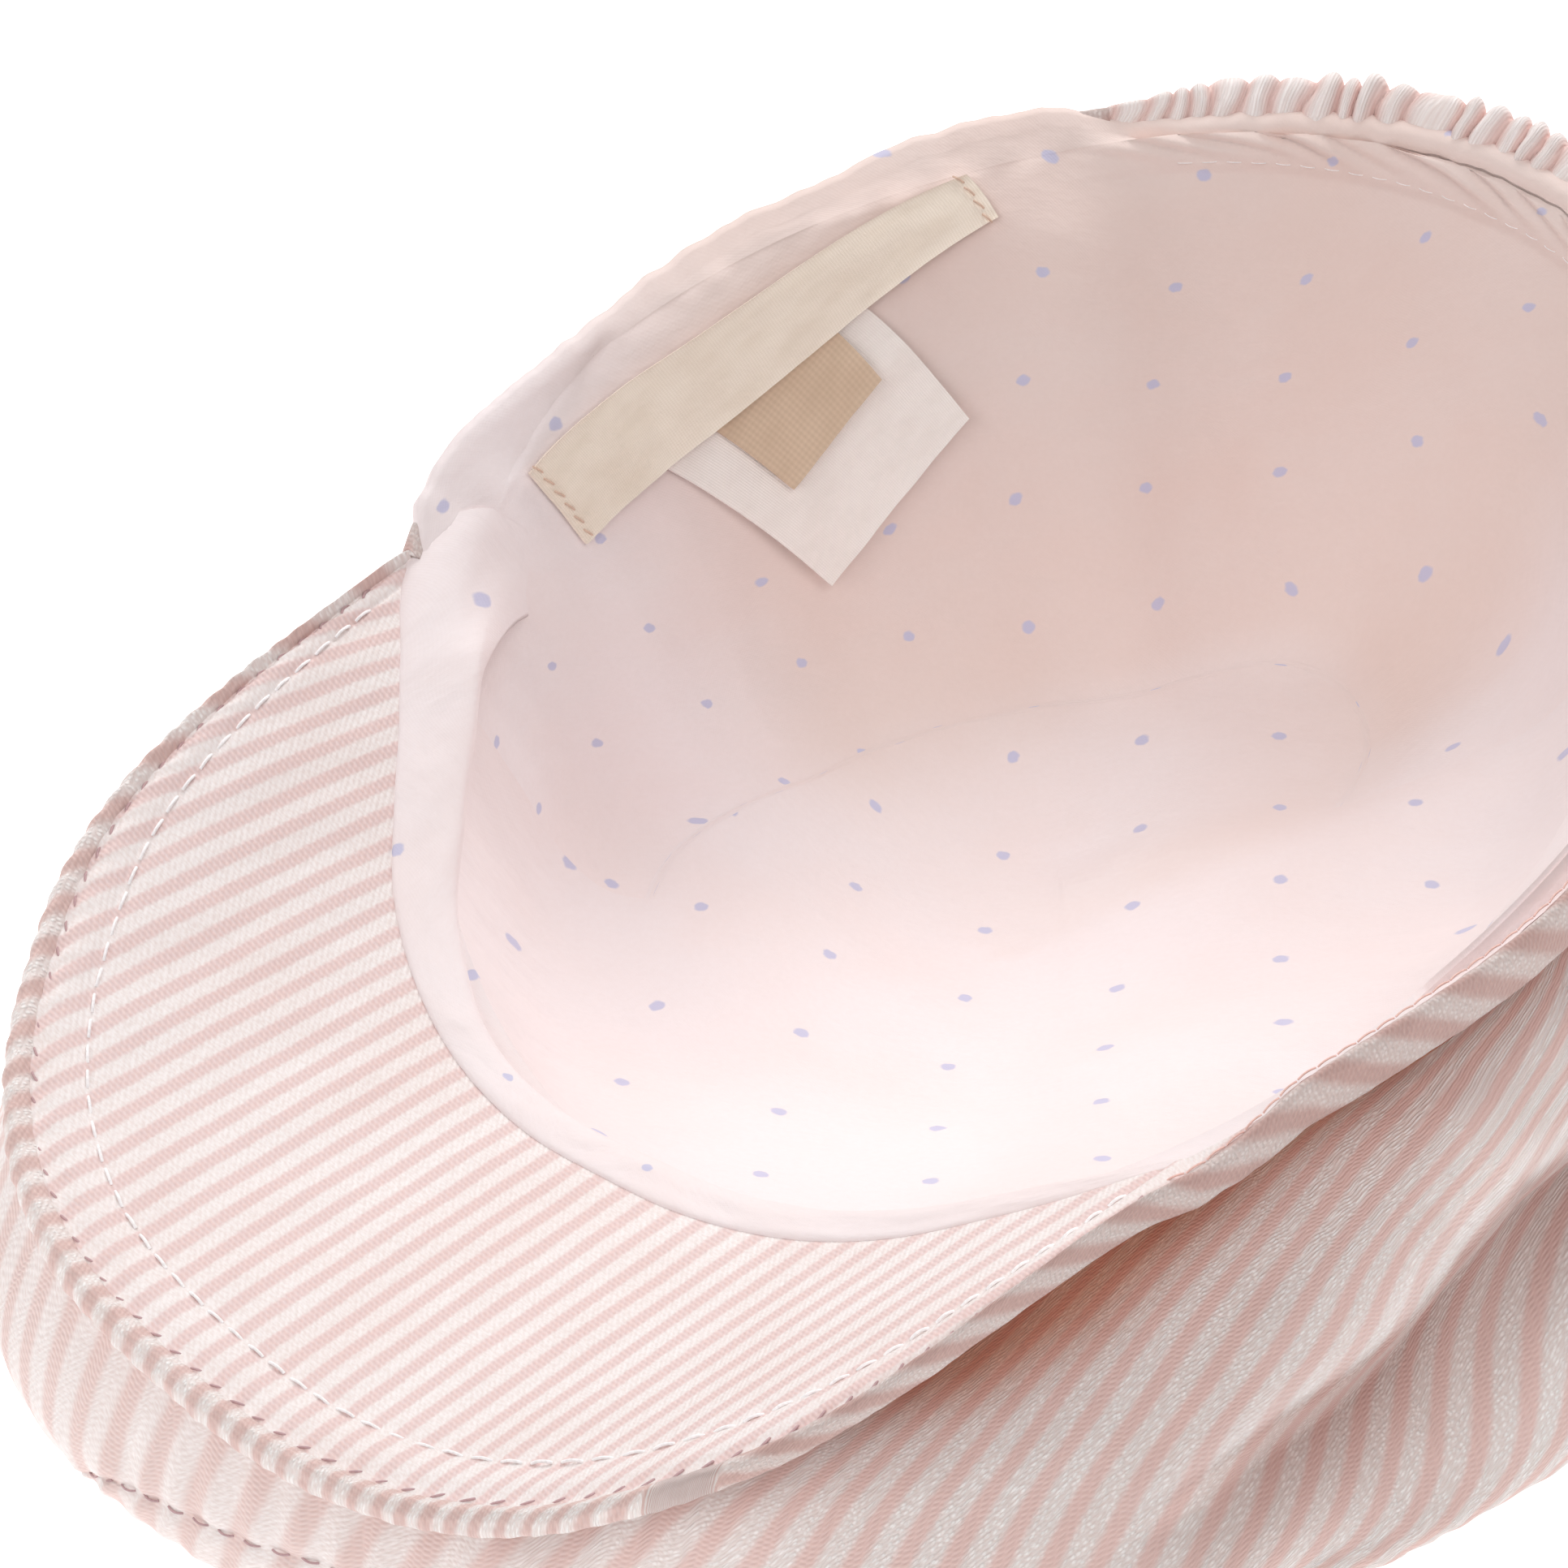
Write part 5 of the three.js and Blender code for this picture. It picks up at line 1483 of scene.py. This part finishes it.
class DRIVERCAP_OT_crown(Operator):
    """Builds the crown: top, front and two sides, with the stitched seam round it"""

    bl_idname = "driver_cap.crown"
    bl_label = "Crown"
    bl_options = {"REGISTER", "UNDO"}

    def execute(self, context):
        panels = (("front", -18, 18, 90), ("side_right", 18, 180, 420), ("side_left", -180, -18, 300))
        for side, start, end, columns in panels:
            made = crown_panel(f"crown_{side}_cloth", start, end, columns, 100)
            dress(made, "striped_cotton", f"crown_{side}")
        made = dress(crown_top(), "striped_cotton", "crown_top")
        angles = np.linspace(-178, 178, 1400)
        reach = crown_seam(angles)
        here = crown_point(angles, reach, -0.3, crown_wrinkles(angles, reach))
        ups = ways_up(here, crown_point(angles, reach - 0.01, -0.3), here - CAP_MIDDLE)
        name = "crown_seam_stitches"
        sewn_row(name, "striped_cotton", here, ups, "taupe_thread", 3.7, 2.2, seed=4, radius=0.14)
        return {"FINISHED"}


class DRIVERCAP_OT_edges(Operator):
    """Builds the rolled edge at both sides and the gathered elastic back"""

    bl_idname = "driver_cap.edges"
    bl_label = "Rolled edges"
    bl_options = {"REGISTER", "UNDO"}

    def execute(self, context):
        starts = {"right": VISOR_CORNER - 0.1, "left": -VISOR_CORNER}
        for side, start in starts.items():
            made = rolled_edge(f"rolled_edge_{side}_cloth", start, math.copysign(BACK_START, start))
            dress(made, "striped_cotton", f"rolled_edge_{side}")
        dress(gathered_back(), "striped_cotton", "elastic_back")
        angles = np.linspace(52, 132, 900)
        here, beside = (
            by_rim(angles, rim_drift(angles) - inward, roll_height(angles) - low)
            for inward, low in ((2.45, 0.75), (2.85, 1.0))
        )
        name, ups = "rim_seam_stitches", ways_up(here, beside)
        sewn_row(name, "striped_cotton", here, ups, "pink_thread", 2.6, 2.4, seed=5, radius=0.12, rise=0.1)
        return {"FINISHED"}


class DRIVERCAP_OT_visor(Operator):
    """Builds the visor with its rolled edge and two rows of stitches"""

    bl_idname = "driver_cap.visor"
    bl_label = "Visor"
    bl_options = {"REGISTER", "UNDO"}

    def execute(self, context):
        dress(visor(), "striped_cotton", "visor")
        dress(visor_roll(), "striped_cotton")
        visor_row("visor_stitch_row", STITCH_INSET, "white_thread", 2.3, 0.25, seed=2)
        look = {"radius": 0.16, "seed": 3, "slant": 0.35}
        visor_row("visor_edge_stitches", VISOR_ROLL + 0.1, "taupe_thread", 2.0, 0.1, ends=0.97, **look)
        return {"FINISHED"}


class DRIVERCAP_OT_lining(Operator):
    """Builds the dotted lining and the facing band at the front"""

    bl_idname = "driver_cap.lining"
    bl_label = "Lining"
    bl_options = {"REGISTER", "UNDO"}

    def execute(self, context):
        made = dress(lining(), "dotted_lining", "lining")
        dress(facing(), "dotted_lining", "front_facing")
        angles = np.linspace(140, 220, 500)
        reach = np.full_like(angles, CASING_REACH - 0.012)
        lift = lining_wrinkles(angles, reach) + 0.2
        here, beside = (lining_point(angles, reach + more, lift) for more in (0.0, 0.01))
        ups = ways_up(here, beside, CAP_MIDDLE - here)
        name = "casing_stitches"
        sewn_row(name, "dotted_lining", here, ups, "white_thread", 2.9, 1.7, seed=6, radius=0.055)
        return {"FINISHED"}


class DRIVERCAP_OT_labels(Operator):
    """Builds the three bare labels on the lining"""

    bl_idname = "driver_cap.labels"
    bl_label = "Labels"
    bl_options = {"REGISTER", "UNDO"}

    def execute(self, context):
        for name, spec in LABELS.items():
            made = dress(label(name, spec), spec["slot"], spec["node"])
            width, length = (s * 0.001 for s in spec["size"])
        spec = LABELS["main_label_tape"]
        down = np.linspace(0.06, 0.94, 60)
        for number, across in enumerate((0.018, 0.982)):
            here, beside = (label_point(spec, at, down, LABEL_CLOTH + 0.12) for at in (across, across + 0.01))
            name, ups = f"label_stitches_{number + 1}", ways_up(here, beside)
            look = {"seed": 8 + number, "radius": 0.13, "slant": 0.3}
            sewn_row(name, "woven_label", here, ups, "tan_thread", 1.9, 1.5, **look)
        return {"FINISHED"}


class DRIVERCAP_OT_stage(Operator):
    """Builds the floor, the soft lights and the camera"""

    bl_idname = "driver_cap.stage"
    bl_label = "Stage"
    bl_options = {"REGISTER", "UNDO"}

    def execute(self, context):
        scene = bpy.context.scene
        floor = bpy.data.meshes.new("floor")
        corners = [(-1, -1, 0), (1, -1, 0), (1, 1, 0), (-1, 1, 0)]
        floor.from_pydata([Vector(corner) * FLOOR_HALF_WIDTH for corner in corners], [], [(0, 1, 2, 3)])
        floor.materials.append(material("white_board"))
        linked("floor", floor)

        scene.world = bpy.data.worlds.new("studio")
        scene.world.use_nodes = True
        sky = scene.world.node_tree.nodes["Background"].inputs
        sky["Color"].default_value = (1.0, 0.995, 0.995, 1)
        sky["Strength"].default_value = WORLD_LIGHT

        for name, where, size, power in SOFTBOXES:
            lamp = bpy.data.lights.new(name, "AREA")
            lamp.shape = "DISK"
            lamp.size = size
            lamp.energy = power
            item = linked(name, lamp)
            item.location = where
            item.rotation_euler = (Vector(LAMPS_AIM) - Vector(where)).to_track_quat("-Z", "Y").to_euler()

        lens = bpy.data.cameras.new("camera")
        lens.sensor_width = 36.0
        lens.lens = CAMERA_LENS
        lens.clip_start = 0.05
        lens.clip_end = 20.0
        camera = linked("camera", lens)
        back = -Vector(CAMERA_LOOK).normalized()
        across = Vector(CAMERA_ACROSS)
        across = (across - back * across.dot(back)).normalized()
        turn = Matrix((across, back.cross(across), back)).transposed().to_4x4()
        camera.matrix_world = Matrix.Translation(CAMERA_PLACE) @ turn
        scene.camera = camera
        scene.view_settings.view_transform = "Standard"
        scene.view_settings.look = "None"
        return {"FINISHED"}


class DRIVERCAP_PT_panel(Panel):
    bl_label = "Driver cap"
    bl_idname = "DRIVERCAP_PT_panel"
    bl_space_type = "VIEW_3D"
    bl_region_type = "UI"
    bl_category = "Cap"

    def draw(self, context):
        for name in DriverCapSettings.__annotations__:
            self.layout.prop(context.scene.driver_cap, name)
        for kind in OPERATORS:
            self.layout.operator(kind.bl_idname)


OPERATORS = (
    DRIVERCAP_OT_crown,
    DRIVERCAP_OT_edges,
    DRIVERCAP_OT_visor,
    DRIVERCAP_OT_lining,
    DRIVERCAP_OT_labels,
    DRIVERCAP_OT_stage,
)
CLASSES = (DriverCapSettings, *OPERATORS, DRIVERCAP_PT_panel)


def register():
    for kind in CLASSES:
        bpy.utils.register_class(kind)
    bpy.types.Scene.driver_cap = PointerProperty(type=DriverCapSettings)


def unregister():
    del bpy.types.Scene.driver_cap
    for kind in reversed(CLASSES):
        bpy.utils.unregister_class(kind)


def main():
    """Builds the whole cap."""
    register()
    for kind in OPERATORS:
        group, name = kind.bl_idname.split(".")
        getattr(getattr(bpy.ops, group), name)()


if __name__ == "__main__":
    main()
